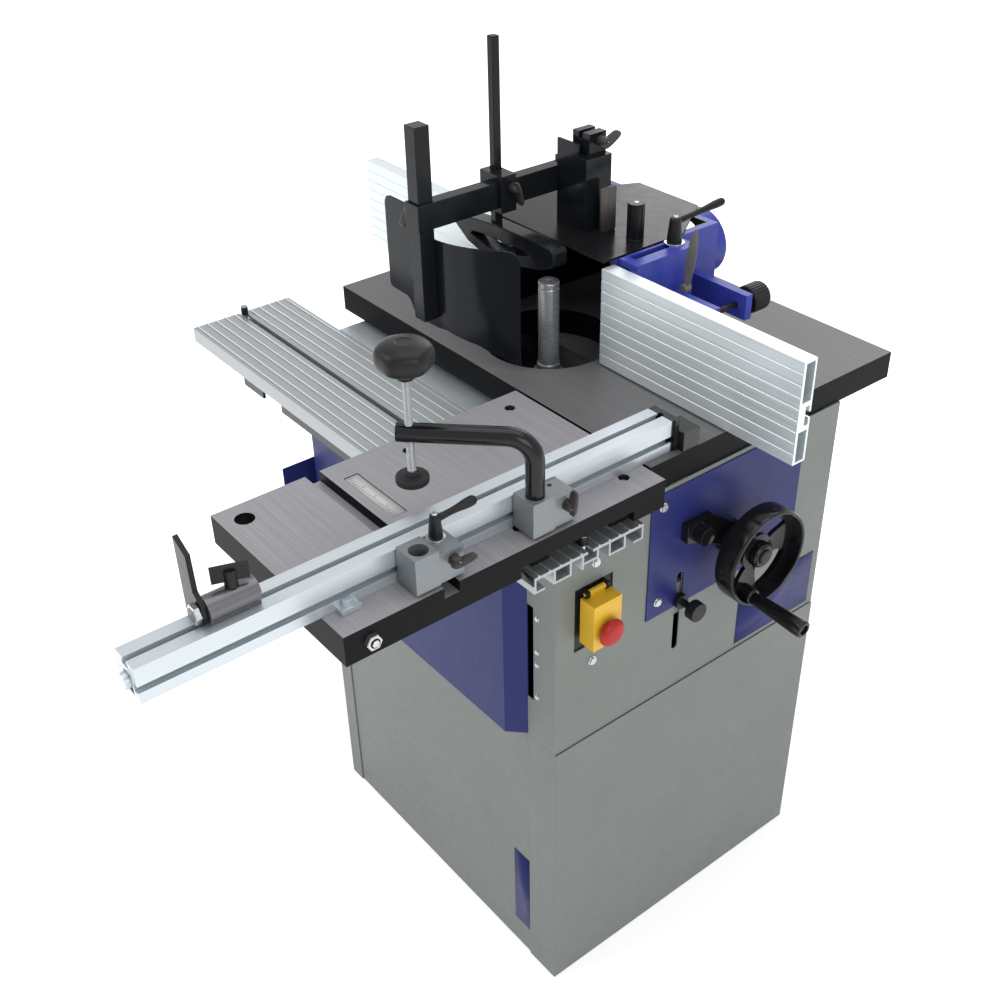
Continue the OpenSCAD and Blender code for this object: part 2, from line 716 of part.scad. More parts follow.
module lift_screw() color(steel) translate([screw_x, wheel_y, 0]) union() {
    rod_z(shaft_r, 0, 0, column_bot - 6, wheel_z - bevel_r - 10);
    rod_z(shaft_r + 3, 0, 0, wheel_z - bevel_r - 11, wheel_z - bevel_r - gear_gap);
    translate([0, 0, wheel_z - bevel_r - gear_gap])
        cylinder(r1 = bevel_r, r2 = bevel_r - bevel_f, h = bevel_f);
    rod_z(shaft_r - 1, 0, 0, wheel_z - bevel_r, wheel_z + 36);
}

module handwheel_shaft() color(steel) union() {
    rod_x_axis(shaft_r, wheel_y, wheel_z, screw_x + bevel_r, wheel_x1 - 6);
    rod_x_axis(shaft_r + 3, wheel_y, wheel_z, screw_x + bevel_r + gear_gap, screw_x + bevel_r + 12);
    translate([screw_x + bevel_r + gear_gap, wheel_y, wheel_z]) rotate([0, -90, 0])
        cylinder(r1 = bevel_r, r2 = bevel_r - bevel_f, h = bevel_f);
}

// Opening in the wheel's web, between two spokes
module kidney(x0, x1) intersection() {
    far = 2 * kidney_r1;
    difference() {
        rod_x_axis(kidney_r1, 0, 0, x0, x1);
        rod_x_axis(kidney_r0, 0, 0, x0 - 1, x1 + 1);
    }
    along_x(x0, x1) polygon([[0, 0], [far, -far * tan(kidney_half)], [far, far * tan(kidney_half)]]);
}

// Wide-rimmed wheel with three spokes and a boss for the handle
module handwheel() color(black) difference() {
    web_x0 = wheel_x0 + 4;
    web_x1 = web_x0 + wheel_web;
    union() {
        difference() {
            rod_x_axis(wheel_r, wheel_y, wheel_z, wheel_x0, wheel_x1);
            rod_x_axis(wheel_r - wheel_rim, wheel_y, wheel_z, web_x1, wheel_x1 + 1);
            rod_x_axis(wheel_r - wheel_rim, wheel_y, wheel_z, wheel_x0 - 1, web_x0);
        }
        rod_x_axis(18, wheel_y, wheel_z, wheel_x0 - 10, wheel_x1 - 8);
        rod_x_axis(12, wheel_y + handle_at * cos(handle_a), wheel_z + handle_at * sin(handle_a),
                   web_x0, wheel_x1);
    }
    for (i = [0 : 2]) translate([0, wheel_y, wheel_z]) rotate([handle_a + 60 + 120 * i, 0, 0])
        kidney(web_x0 - 1, web_x1 + 1);
    rod_x_axis(shaft_r + 0.02, wheel_y, wheel_z, wheel_x0 - 11, wheel_x1 + 1);
    rod_x_axis(4, wheel_y + handle_at * cos(handle_a), wheel_z + handle_at * sin(handle_a),
               wheel_x1 - 12, wheel_x1 + 1);
}

// Handle that spins on its stud
module handwheel_handle() color(black)
    translate([wheel_x1 + slip, wheel_y + handle_at * cos(handle_a), wheel_z + handle_at * sin(handle_a)])
        rotate([0, 90, 0]) union() {
            rotate_extrude() polygon([
                [0, 0], [8.5, 0], [9, 8], [12, handle_l - 14], [12, handle_l - 2], [10, handle_l],
                [7, handle_l], [7, handle_l - 3], [0, handle_l - 3]]);
            rod_z(4 - run, 0, 0, -11, 1);
        }

// Yellow flap, open at its back, hinged at its top
module switch_cover() color(yellow) difference() {
    union() {
        block([cover_x0, cover_y0, cover_z0], [cover_x1, cover_y1, cover_z1]);
        rod_y_axis(4, hinge_x, hinge_z, cover_y0 + 10, cover_y1 - 10);
        rod_y_axis(2, hinge_x, hinge_z, cover_y0 + 3, cover_y1 - 3);
        block([cover_x0 + 1, cover_y0 + 11, cover_z1 - 2], [cover_x0 + 7, cover_y1 - 11, hinge_z]);
    }
    block([cover_x0 - 1, cover_y0 + 3, cover_z0 + 3], [cover_x1 - 3, cover_y1 - 3, cover_z1 - 3]);
    rod_x_axis(7 + slip, switch_mid, stop_button_z, cover_x1 - 4, cover_x1 + 1);
}

module stop_button() color(red) translate([cover_x1, switch_mid, stop_button_z]) rotate([0, 90, 0])
    rotate_extrude() polygon([
        [0, -10], [7, -10], [7, 4.5], [15, 4.5], [19, 7], [19, 11], [14, 14.5], [0, 16]]);

module start_button() color(green)
    rod_x_axis(9, switch_mid, start_z, upper_x - sheet - 8, upper_x + 6);

// Sliding table: ribbed casting with a slot across, a channel over the track and fixing holes
module sliding_table() color(slide_grey) difference() {
    union() {
        ribbed_plate([slide_x0, slide_y0, table_z - slide_t], [slide_x1, slide_y1, table_z],
                     3, 4, slide_plate, 11);
        block([pivot_x - 14, pivot_y - 14, table_z - slide_t], [pivot_x + 14, pivot_y + 14, table_z]);
    }
    block([slide_x0 - 1, slot_back_y - slide_slot_w, table_z - slide_slot_t],
          [slide_x1 + 1, slot_back_y, table_z + 1]);
    block([slide_x0 - 1, track_y0 - 20, table_z - slide_t - 1],
          [slide_x1 + 1, track_y1 - 19, table_z - slide_over]);
    block([slide_x0 + 34, slot_back_y + 13, table_z - 1], [slide_x0 + 139, slot_back_y + 33, table_z + 1]);
    rod_z(pivot_r + run, pivot_x, pivot_y, table_z - slide_t - 1, table_z + 1);
    rod_z(slide_hole_r, slide_x0 + 31, pivot_y - 2, table_z - slide_t - 1, table_z + 1);
    for (x = [slide_x0 + 31, slide_x1 - 35], y = [slide_y1 - 196, slide_y1 - 35])
        translate([x, y, table_z - 5]) cylinder(r1 = 3, r2 = 7.01, h = 5.01);
}

// Guide shoes that run on the track, and the bolt in the table's right side
module slide_fittings() color(black) {
    for (x = [slide_x0 + 20, slide_x1 - 80], y = [track_y0 + 12, track_y1 - 37])
        block([x, y, track_top + slip], [x + 60, y + 25, table_z - slide_plate]);
    rod_x_axis(6, slide_y0 + 33, table_z - slide_t / 2 - 1, slide_x1, slide_x1 + 7);
}

// Fence section with T slots in its top and both sides
module mitre_section() {
    slot = 8;
    inner = 14;
    depth = 9;
    side_z = mitre_z0 + 17;
    difference() {
        rect([mitre_x0, mitre_z0], [mitre_x1, mitre_z1]);
        rect([mitre_mid - slot / 2, mitre_z1 - depth], [mitre_mid + slot / 2, mitre_z1 + 1]);
        rect([mitre_mid - inner / 2, mitre_z1 - depth], [mitre_mid + inner / 2, mitre_z1 - wall]);
        for (s = [-1, 1]) translate([mitre_mid, 0]) scale([s, 1]) {
            rect([mitre_w / 2 - depth, side_z - slot / 2], [mitre_w / 2 + 1, side_z + slot / 2]);
            rect([mitre_w / 2 - depth, side_z - inner / 2], [mitre_w / 2 - wall, side_z + inner / 2]);
        }
        rect([mitre_mid - 8, mitre_z0 + wall], [mitre_mid + 8, mitre_z0 + 27]);
    }
}

// Fence, its end cap and front bolt, and the lug with the pivot bolt
module mitre_fence() color(aluminium) {
    along_y(mitre_y0, mitre_y1) mitre_section();
    rod_y_axis(9, mitre_mid - 2, mitre_z0 + 16, mitre_y0 - 6, mitre_y0 + 2);
    block([mitre_x0, mitre_y1 - 1, mitre_z0], [mitre_x1 + 2, mitre_y1 + 6, mitre_z1]);
    block([mitre_mid - 2, mitre_y1 + 5, mitre_z0 + 1], [mitre_x1 + 12, mitre_y1 + 32, mitre_z0 + 27]);
    difference() {
        union() {
            block([mitre_x1 - 1, pivot_y - 12, mitre_z0], [pivot_x + 8, pivot_y + 12, mitre_z0 + 6]);
            rod_z(pivot_r, pivot_x, pivot_y, table_z - slide_t + 2, mitre_z0 + 14);
        }
        block([mitre_x0, pivot_y - 20, mitre_z0 - 1], [mitre_x1 - 1, pivot_y + 20, mitre_z1]);
    }
}

// Clamp casting beside the fence: a split ring for the tube and a plate on the slot
module side_clamp(y) difference() {
    x0 = mitre_x1 + slip;
    union() {
        block([x0 + 2, y - ring_r, block_z0], [ring_x + ring_r, y + ring_r, block_z1]);
        block([x0, y - ring_r * 0.7, block_z0], [ring_x + ring_r - 2, y + block_l, mitre_z1 - 2]);
        rod_x_axis(3.5, y + 34, mitre_z0 + 17, x0 - 5, x0 + 1);
    }
    rod_z(tube_r + run, ring_x, y, block_z0 - 1, block_z1 + 1);
    rod_x_axis(4 + run, y + 34, mitre_z0 + 28, x0 + 2, ring_x + 20);
    rod_z(3 + run, lever_x, y + 32, mitre_z1 - 8, mitre_z1);
}

wing_seat_x = ring_x + ring_r - 2 + slip;
module side_wing(y, turn) translate([wing_seat_x, y + 34, mitre_z0 + 28])
    rotate([0, 90, 0]) rotate([0, 0, turn]) wing_knob(4, 8, 16, 12);

module clamp_block() color(aluminium) side_clamp(clamp_y);
module clamp_wing() color(black) side_wing(clamp_y, 10);
module spare_block() color(aluminium) side_clamp(spare_y);
module spare_wing() color(black) side_wing(spare_y, 80);

// Hold-down tube: up from the ring, round a bend and out over the work
module clamp_arm() color(black) difference() {
    union() {
        rod_z(tube_r, ring_x, clamp_y, block_z0 + 2, arm_z - bend_r + 1);
        translate([ring_x, clamp_y, arm_z - bend_r]) rotate([0, 0, arm_a]) {
            translate([bend_r, 0, 0]) rotate([90, 0, 180]) rotate_extrude(angle = 90)
                translate([bend_r, 0]) circle(tube_r + 0.1);
            translate([bend_r - 1, 0, bend_r]) rotate([0, 90, 0])
                cylinder(r = tube_r, h = arm_reach + 15 - bend_r);
        }
    }
    rod_z(clamp_screw_r + 0.08, pad_x, pad_y, arm_z - tube_r - 2, arm_z + tube_r + 2);
}

// Rubber pad and its swivel socket
module clamp_pad() color(black) translate([pad_x, pad_y, 0]) difference() {
    union() {
        rod_z(19, 0, 0, pad_z - 5, pad_z + 3);
        rod_z(9, 0, 0, pad_z + 2, pad_z + 9);
    }
    rod_z(4 + run, 0, 0, pad_z, pad_z + 10);
}

// Clamping screw with its mushroom knob
module clamp_screw() translate([pad_x, pad_y, 0]) {
    color(steel) union() {
        rod_z(4, 0, 0, pad_z + slip, pad_z + 12);
        rod_z(clamp_screw_r, 0, 0, pad_z + 9 + slip, knob_z - 10);
        translate([0, 0, knob_z]) rotate_extrude() polygon([
            [0, -32], [11, -32], [13, -27], [25, -24], [31, -18], [33, -8], [32, 1], [28, 9], [20, 14],
            [12, 16.5], [0, 18]]);
    }
}

// Stop clamp on top of the fence, with the flag's pivot at its front
module stop_body() color(black) difference() {
    union() {
        rod_y_axis(stop_r, mitre_mid, stop_z, stop_y, stop_y + 56);
        block([mitre_mid - 10, stop_y, mitre_z1 + slip], [mitre_mid + 10, stop_y + 56, stop_z]);
        rod_y_axis(4, mitre_mid, stop_z, stop_y - 14, stop_y + 1);
        rod_y_axis(8, mitre_mid, stop_z, stop_y - 14, stop_y - 7);
    }
    rod_z(4 + run, mitre_mid, stop_y + 32, mitre_z1 + 2, stop_z + 20);
}

module stop_flag() color(black) difference() {
    along_y(stop_y - 6, stop_y - slip) polygon([
        [mitre_x0 - 10, stop_z - 27], [mitre_x0 - 1, stop_z - 27], [mitre_x0 - 1, stop_z - 12],
        [mitre_mid + 8, stop_z - 11], [mitre_mid + 8, stop_z + 9], [mitre_mid - 6, stop_z + 20],
        [mitre_mid - 8, stop_z + 62], [mitre_x0 - 10, stop_z + 74]]);
    rod_y_axis(4 + run, mitre_mid, stop_z, stop_y - 7, stop_y + 1);
}

module stop_knob() color(black) translate([mitre_mid, stop_y + 32, stop_z + stop_r + slip])
    rotate([0, 0, 70]) wing_knob(4, 12, 19, 20);

// Ratchet lever: hub with a slim arm and a round end, standing on its seat at the origin
module ratchet_lever(hub_r, hub_h, reach, stud, stud_l) {
    rod_z(stud, 0, 0, -stud_l, 1);
    rod_z(hub_r, 0, 0, 0, hub_h);
    translate([0, 0, hub_h - 7]) rotate([0, 82, 0]) rod_z(4, 0, 0, 0, reach);
    translate([reach * sin(82), 0, hub_h - 7 + reach * cos(82)]) rotate([0, 82, 0]) rod_z(6, 0, 0, -8, 6);
}

module spare_lever() color(black) translate([lever_x, spare_y + 32, mitre_z1 - 2 + slip])
    rotate([0, 0, 85]) ratchet_lever(8, 30, 52, 3, 5);

module fence_lever() color(black) difference() {
    translate([stud_x, stud_y, ledge_z1 + flange_t + 2 * slip]) rotate([0, 0, 84])
        ratchet_lever(9, 38, 84, 3, 0);
    rod_z(stud_r + run, stud_x, stud_y, ledge_z1, ledge_z1 + flange_t + 15);
}

// Guard bar with the square socket at its front end
module guard_bar() color(black) difference() {
    union() {
        block([bar_x0, socket_y0 + 1, bar_z0], [bar_x1, bar_y1, bar_z1]);
        block([bar_x1 - socket_s, socket_y0, bar_z0], [bar_x1, socket_y0 + socket_s, bar_z1]);
    }
    block([post_x - post_s / 2 - slip, post_y - post_s / 2 - slip, bar_z0 - 1],
          [post_x + post_s / 2 + slip, post_y + post_s / 2 + slip, bar_z1 + 1]);
}

// Sheet of the guard: a shallow arc in plan, cut to its outline
function bow(x) = sy - 106 + 0.278 * (x - post_x) + 0.00078 * pow(x - post_x, 2);
module guard_shield() color(black) {
    rib = 3;
    x0 = post_x - shield_left;
    x1 = post_x + shield_right;
    step = (x1 - x0) / 12;
    block([post_x - post_s / 2, post_y - post_s / 2, tube_z0],
          [post_x + post_s / 2, post_y + post_s / 2, post_top]);
    block([post_x - rib, post_y + post_s / 2 - 1, tube_z0 + 4], [post_x + rib, bow(post_x) + 1, tube_z0 + 48]);
    intersection() {
        translate([0, 0, shield_z0 - 1]) linear_extrude(shield_h + 60) polygon(concat(
            [for (i = [0 : 12]) [x0 + i * step, bow(x0 + i * step)]],
            [for (i = [12 : -1 : 0]) [x0 + i * step, bow(x0 + i * step) + shield_t]]));
        along_y(sy - 250, sy) union() {
            rect([post_x - 30, shield_z0], [x1, shield_z1]);
            rect([x0 + 12, shield_z0 + 63], [bar_x0 - 1.5, shield_z1 + 35]);
            rect([x0, shield_z0 + 75], [bar_x0 - 1.5, shield_z1 + 23]);
            for (z = [shield_z0 + 75, shield_z1 + 23]) translate([x0 + 12, z]) circle(12);
        }
    }
}

module post_knob() color(black)
    translate([bar_x1 - socket_s - slip, post_y, (bar_z0 + bar_z1) / 2 - 2]) rotate([0, -90, 0])
        rotate([0, 0, 20]) wing_knob(3, 0, 17, 16);

// Block that slides on the bar and holds the shoe's rod beside it
module shoe_block() color(black) difference() {
    x0 = rod_x - shoe_rod / 2 - 6;
    x1 = bar_x1 + 6;
    block([x0, rod_y - 18, bar_z0 - 6], [x1, rod_y + 7.5, bar_z1 + 9]);
    block([bar_x0 - slip, rod_y - 19, bar_z0 - slip], [bar_x1 + slip, rod_y + 9, bar_z1 + slip]);
    block([rod_x - shoe_rod / 2 - slip, rod_y - shoe_rod / 2 - slip, bar_z0 - 7],
          [bar_x0, rod_y + shoe_rod / 2 + slip, bar_z1 + 10]);
    rod_x_axis(4 + run, rod_y, bar_z1 - 8, bar_x1, x1 + 1);
}

module shoe_knob() color(black) translate([bar_x1 + 6 + slip, rod_y, bar_z1 - 8])
    rotate([0, 90, 0]) rotate([0, 0, 60]) wing_knob(4, 5.5, 15, 14);

// Rod and the looped shoe that presses on the work
module pressure_shoe() color(black) union() {
    y0 = rod_y - shoe_d / 2;
    y1 = rod_y + shoe_d / 2;
    block([rod_x - shoe_rod / 2, rod_y - shoe_rod / 2, shoe_z + 24],
          [rod_x + shoe_rod / 2, rod_y + shoe_rod / 2, rod_top]);
    along_y(y0, y1) difference() {
        polygon([
            [rod_x - 62, shoe_z + 14], [rod_x - 52, shoe_z + 2], [rod_x - 30, shoe_z - 2],
            [rod_x + 60, shoe_z - 2], [rod_x + 104, shoe_z + 10], [rod_x + 128, shoe_z + 22],
            [rod_x + 128, shoe_z + 40], [rod_x + 110, shoe_z + 44], [rod_x + 40, shoe_z + 40],
            [rod_x - 20, shoe_z + 38], [rod_x - 50, shoe_z + 28]]);
        polygon([
            [rod_x - 34, shoe_z + 12], [rod_x + 56, shoe_z + 10], [rod_x + 96, shoe_z + 24],
            [rod_x + 40, shoe_z + 26], [rod_x - 20, shoe_z + 24]]);
    }
}

// Hollow fence plate with fine ridges on its face and a T slot in its back
module fence_section() {
    difference() {
        rect([sy, fence_z0], [plate_y1, fence_z1]);
        rect([sy + wall + 1, fence_slot_z + 24], [plate_y1 - wall, fence_z1 - wall]);
        rect([sy + wall + 1, fence_z0 + wall], [plate_y1 - wall, fence_slot_z - 16]);
        rect([plate_y1 - 10, fence_slot_z - 9], [plate_y1 - wall, fence_slot_z + 17]);
        rect([plate_y1 - wall - 1, fence_slot_z], [plate_y1 + 1, fence_slot_z + fence_slot_h]);
        for (i = [1 : 8])
            rect([sy - 1, fence_z0 + i * fence_h / 9 - 1], [sy + 0.8, fence_z0 + i * fence_h / 9 + 1]);
    }
}

module fence_right() color(aluminium)
    along_x(sx + fence_gap, sx + fence_gap + fence_l) fence_section();
module fence_left() color(aluminium)
    along_x(sx - fence_gap - fence_l, sx - fence_gap) fence_section();

// Right bracket: face for the fence plate, slotted flange and the arm on the fine screw
module infeed_bracket() color(bright_blue) difference() {
    x0 = hood_right + slip + 1;
    wall_x = stud_x + 13;
    y1 = sy + 135;
    z1 = ledge_z1 + slip + flange_t;
    union() {
        block([wall_x, plate_y1 + slip, table_z + 20], [wall_x + 88, plate_y1 + face_t, fence_z1 - 16]);
        block([wall_x, plate_y1 + face_t - 1, table_z + 0.5], [wall_x + hood_wall, y1, ledge_z1 + slip + 1]);
        block([wall_x, plate_y1 + face_t - 1, table_z + 0.5], [wall_x + 40, y1, table_z + 12]);
        block([x0, sy + 30, ledge_z1 + slip], [wall_x + hood_wall, y1 + 6, z1]);
        block([wall_x + hood_wall - 1, sy + 92, micro_z - 16], [micro_x + 16, sy + 112, micro_z + 16]);
    }
    block([stud_x - stud_r - 1, sy + 44, ledge_z1 - 1], [stud_x + stud_r + 1, stud_y + 12, z1 + 1]);
    rod_y_axis(micro_r + run, micro_x, micro_z, sy + 91, sy + 113);
}

// Fine adjustment: screw, collar and knurled knob
module micro_knob() color(black) union() {
    y0 = micro_bar_y + 12 + slip;
    rod_y_axis(micro_r, micro_x, micro_z, sy + 80, y0 + 48);
    rod_y_axis(14, micro_x, micro_z, y0, y0 + 8);
    rod_y_axis(20, micro_x, micro_z, y0 + 7, y0 + 38);
}

cabinet_base();
cabinet_left();
cabinet_right_lower();
cabinet_right_upper();
cabinet_rear();
cabinet_front();
front_cover();
table_frame();
main_table();
track_beam();
track_rails();
control_panel();
fixings();
switch_box();
shaft_bearing();
hood_body();
hood_top();
guard_column();
outfeed_bracket();
slide_column();
spindle_carriage();
spindle_bearings();
motor();
drive_belt();
spindle_arbor();
motor_pulley();
height_lock_knob();
lift_screw();
handwheel();
handwheel_shaft();
handwheel_handle();
switch_cover();
stop_button();
start_button();
sliding_table();
slide_fittings();
mitre_fence();
clamp_block();
clamp_wing();
clamp_arm();
clamp_pad();
clamp_screw();
stop_body();
stop_flag();
stop_knob();
spare_block();
spare_lever();
spare_wing();
guard_bar();
guard_shield();
post_knob();
shoe_block();
shoe_knob();
pressure_shoe();
column_knob();
fence_right();
fence_left();
infeed_bracket();
fence_lever();
micro_knob();
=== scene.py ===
import json
import math

import bmesh
import bpy
from mathutils import Matrix, Vector

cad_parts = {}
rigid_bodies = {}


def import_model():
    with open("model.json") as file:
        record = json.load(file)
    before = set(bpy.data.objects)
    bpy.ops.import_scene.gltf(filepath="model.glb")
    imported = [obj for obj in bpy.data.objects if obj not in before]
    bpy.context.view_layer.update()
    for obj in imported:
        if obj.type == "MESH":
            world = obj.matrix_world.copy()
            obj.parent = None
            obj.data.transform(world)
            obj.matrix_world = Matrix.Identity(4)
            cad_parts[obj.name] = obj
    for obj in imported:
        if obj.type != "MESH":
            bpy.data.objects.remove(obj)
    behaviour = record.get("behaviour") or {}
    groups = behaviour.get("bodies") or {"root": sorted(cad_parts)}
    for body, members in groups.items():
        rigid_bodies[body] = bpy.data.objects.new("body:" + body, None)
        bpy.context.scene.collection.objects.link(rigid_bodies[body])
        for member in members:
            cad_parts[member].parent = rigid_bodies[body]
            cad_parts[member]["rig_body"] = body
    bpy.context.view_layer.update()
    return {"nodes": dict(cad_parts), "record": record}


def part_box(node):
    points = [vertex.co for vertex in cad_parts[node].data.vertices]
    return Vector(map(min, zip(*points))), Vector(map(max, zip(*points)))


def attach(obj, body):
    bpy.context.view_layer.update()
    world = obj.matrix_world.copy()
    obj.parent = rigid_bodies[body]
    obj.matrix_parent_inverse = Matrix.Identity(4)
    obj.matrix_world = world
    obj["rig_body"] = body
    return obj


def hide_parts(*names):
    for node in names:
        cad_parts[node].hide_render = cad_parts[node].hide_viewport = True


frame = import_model()
nodes = frame["nodes"]
slot_of = {part["node"]: part["material_slot"] for part in frame["record"]["subparts"]}
MM = 0.001

# The camera stands at the machine's right front corner, a little above head height,
# and looks down at the tables. Its place was solved from the photograph's edges.
CAMERA_AT = Vector((1183.3, -1036.0, 1684.4)) * MM
CAMERA_AZIMUTH = math.radians(52.31)
CAMERA_TILT = math.radians(34.14)
CAMERA_ROLL = math.radians(-1.34)
CAMERA_LENS = 46.10
sight = Vector((-math.sin(CAMERA_AZIMUTH) * math.cos(CAMERA_TILT),
                math.cos(CAMERA_AZIMUTH) * math.cos(CAMERA_TILT), -math.sin(CAMERA_TILT)))
side = sight.cross(Vector((0, 0, 1))).normalized()
upward = side.cross(sight)
level = Matrix((side, upward, -sight)).transposed()
camera_data = bpy.data.cameras.new("camera")
camera_data.sensor_width = 36
camera_data.lens = CAMERA_LENS
camera = bpy.data.objects.new("camera", camera_data)
camera.matrix_world = (Matrix.Translation(CAMERA_AT)
                       @ (level @ Matrix.Rotation(CAMERA_ROLL, 3, "Z")).to_4x4())
bpy.context.scene.collection.objects.link(camera)
bpy.context.scene.camera = camera
bpy.context.scene.view_settings.view_transform = "Standard"

# The studio is a pale floor with soft lamps above and at both sides. What shines sees a
# white room, and the lamps alone light what is painted.
FLOOR_SIZE = 14.0
FLOOR_COLOUR = (0.93, 0.93, 0.93, 1)
PAPER_NEAR, PAPER_FAR = 0.6, 1.5
PAPER_GLOW = 0.5
ROOM_GLOW = 0.30
WHITE = (1, 1, 1, 1)
LAMP_AIM = Vector((0, 0, 0.7))
LAMPS = (
    ("key_lamp", (-1.6, -3.0, 3.6), 2.4, 62),
    ("right_lamp", (3.4, -0.9, 2.2), 1.8, 34),
    ("top_lamp", (0.3, 0.4, 4.2), 3.0, 52),
    ("back_lamp", (-1.8, 3.0, 2.6), 2.0, 26),
)
VECTORS = "ShaderNodeVectorMath"


def lamp(name, place, size, power):
    """A square soft lamp aimed at the middle of the machine."""
    data = bpy.data.lights.new(name, "AREA")
    data.size = size
    data.energy = power
    made = bpy.data.objects.new(name, data)
    made.location = place
    made.rotation_mode = "QUATERNION"
    made.rotation_quaternion = (LAMP_AIM - Vector(place)).to_track_quat("-Z", "Y")
    bpy.context.scene.collection.objects.link(made)


def own_place(tree):
    """The object's own coordinates, which a finish keeps when its piece moves."""
    return tree.nodes.new("ShaderNodeTexCoord").outputs["Object"]


def worked(tree, operation, *given, kind="ShaderNodeMath", result=0):
    """What a math node gives for plain numbers and other nodes' outputs."""
    node = tree.nodes.new(kind)
    node.operation = operation
    for socket, value in zip(node.inputs, given):
        if isinstance(value, bpy.types.NodeSocket):
            tree.links.new(value, socket)
        else:
            socket.default_value = value
    return node.outputs[result]


def ranged(tree, value, low, high, start=0.0, stop=1.0):
    """A number that goes from low to high while a value goes from start to stop."""
    part = tree.nodes.new("ShaderNodeMapRange")
    for name, number in (("From Min", start), ("From Max", stop),
                         ("To Min", low), ("To Max", high)):
        part.inputs[name].default_value = number
    tree.links.new(value, part.inputs["Value"])
    return part.outputs["Result"]


def studio_floor():
    """A flat pale floor that stays white to the camera and keeps the shadow."""
    half = FLOOR_SIZE / 2
    mesh = bpy.data.meshes.new("floor")
    corners = [(-half, -half, 0), (half, -half, 0), (half, half, 0), (-half, half, 0)]
    mesh.from_pydata(corners, [], [(0, 1, 2, 3)])
    made = bpy.data.objects.new("floor", mesh)
    bpy.context.scene.collection.objects.link(made)
    material = bpy.data.materials.new("floor_paper")
    material.use_nodes = True
    tree = material.node_tree
    shader = tree.nodes["Principled BSDF"]
    shader.inputs["Base Color"].default_value = FLOOR_COLOUR
    shader.inputs["Roughness"].default_value = 0.9
    shader.inputs["Emission Color"].default_value = WHITE
    away = worked(tree, "LENGTH", own_place(tree), kind=VECTORS, result="Value")
    glow = ranged(tree, away, PAPER_GLOW, 1.0, PAPER_NEAR, PAPER_FAR)
    tree.links.new(glow, shader.inputs["Emission Strength"])
    mesh.materials.append(material)


def studio_room():
    """White to the camera and in reflections, dim for everything else."""
    world = bpy.data.worlds.new("room")
    world.use_nodes = True
    tree = world.node_tree
    path = tree.nodes.new("ShaderNodeLightPath").outputs
    seen = worked(tree, "MAXIMUM", path["Is Camera Ray"], path["Is Glossy Ray"])
    seen = worked(tree, "MAXIMUM", seen, path["Is Transmission Ray"])
    room = tree.nodes["Background"]
    room.inputs["Color"].default_value = WHITE
    tree.links.new(ranged(tree, seen, ROOM_GLOW, 1.0), room.inputs["Strength"])
    bpy.context.scene.world = world


for name, place, size, power in LAMPS:
    lamp(name, place, size, power)
studio_floor()
studio_room()

# The cabinet is folded steel sheet, spot welded at the corners and powder coated grey-green.
# Lower and upper panels meet in a seam at knee height, and the folds have small radii.
GREY_GREEN = (0.170, 0.186, 0.175, 1)
SHEET_FOLD = 1.2 * MM
SAME_POINT = 2e-6
NEARLY_FLAT = math.radians(0.6)


def shaded(name, colour, roughness, metallic=0.0, shine=0.5):
    """A new material, its nodes and its shader, with plain sockets set."""
    material = bpy.data.materials.new(name)
    material.use_nodes = True
    tree = material.node_tree
    shader = tree.nodes["Principled BSDF"]
    shader.inputs["Base Color"].default_value = colour
    shader.inputs["Roughness"].default_value = roughness
    shader.inputs["Metallic"].default_value = metallic
    shader.inputs["Specular IOR Level"].default_value = shine
    return material, tree, shader


def grain(tree, scale, detail=2.0, stretch=(1, 1, 1)):
    """Noise on the object's own coordinates, stretched along an axis where a finish has a lie."""
    mapping = tree.nodes.new("ShaderNodeMapping")
    mapping.inputs["Scale"].default_value = stretch
    tree.links.new(own_place(tree), mapping.inputs["Vector"])
    noise = tree.nodes.new("ShaderNodeTexNoise")
    noise.inputs["Scale"].default_value = scale
    noise.inputs["Detail"].default_value = detail
    tree.links.new(mapping.outputs["Vector"], noise.inputs["Vector"])
    return noise.outputs["Fac"]


def spread(tree, noise, low, high):
    """Noise, which seldom leaves 0.3 to 0.7, spread between two numbers."""
    return ranged(tree, noise, low, high, 0.3, 0.7)


def dented(tree, shader, value, strength, depth):
    """Height from noise, in metres at full strength."""
    bump = tree.nodes.new("ShaderNodeBump")
    bump.inputs["Strength"].default_value = strength
    bump.inputs["Distance"].default_value = depth
    tree.links.new(value, bump.inputs["Height"])
    tree.links.new(bump.outputs["Normal"], shader.inputs["Normal"])


def tinted(tree, shader, value, dark, light):
    """Base colour from one tone at 0 to another at 1, each a colour or another node's output."""
    mix = tree.nodes.new("ShaderNodeMix")
    mix.data_type = "RGBA"
    for end, tone in (("A", dark), ("B", light)):
        if isinstance(tone, bpy.types.NodeSocket):
            tree.links.new(tone, mix.inputs[end])
        else:
            mix.inputs[end].default_value = tone
    tree.links.new(value, mix.inputs["Factor"])
    tree.links.new(mix.outputs["Result"], shader.inputs["Base Color"])
    return mix.outputs["Result"]


def toned(colour, factor):
    """The same colour, darker or lighter."""
    return tuple(min(1.0, channel * factor) for channel in colour[:3]) + (1,)


def mottled(tree, shader, colour, noise, dark, light):
    """Base colour that noise varies about one tone."""
    share = spread(tree, noise, 0, 1)
    return tinted(tree, shader, share, toned(colour, dark), toned(colour, light))


def powder_coat(name, colour, roughness, peel=0.2, shine=0.35):
    """Baked powder: an even tone, a fine orange peel and slightly uneven gloss."""
    material, tree, shader = shaded(name, colour, roughness, shine=shine)
    mottled(tree, shader, colour, grain(tree, 7, 3), 0.96, 1.03)
    uneven = spread(tree, grain(tree, 60, 3), roughness - 0.05, roughness + 0.05)
    tree.links.new(uneven, shader.inputs["Roughness"])
    dented(tree, shader, grain(tree, 900, 2), peel, 0.08 * MM)
    return material


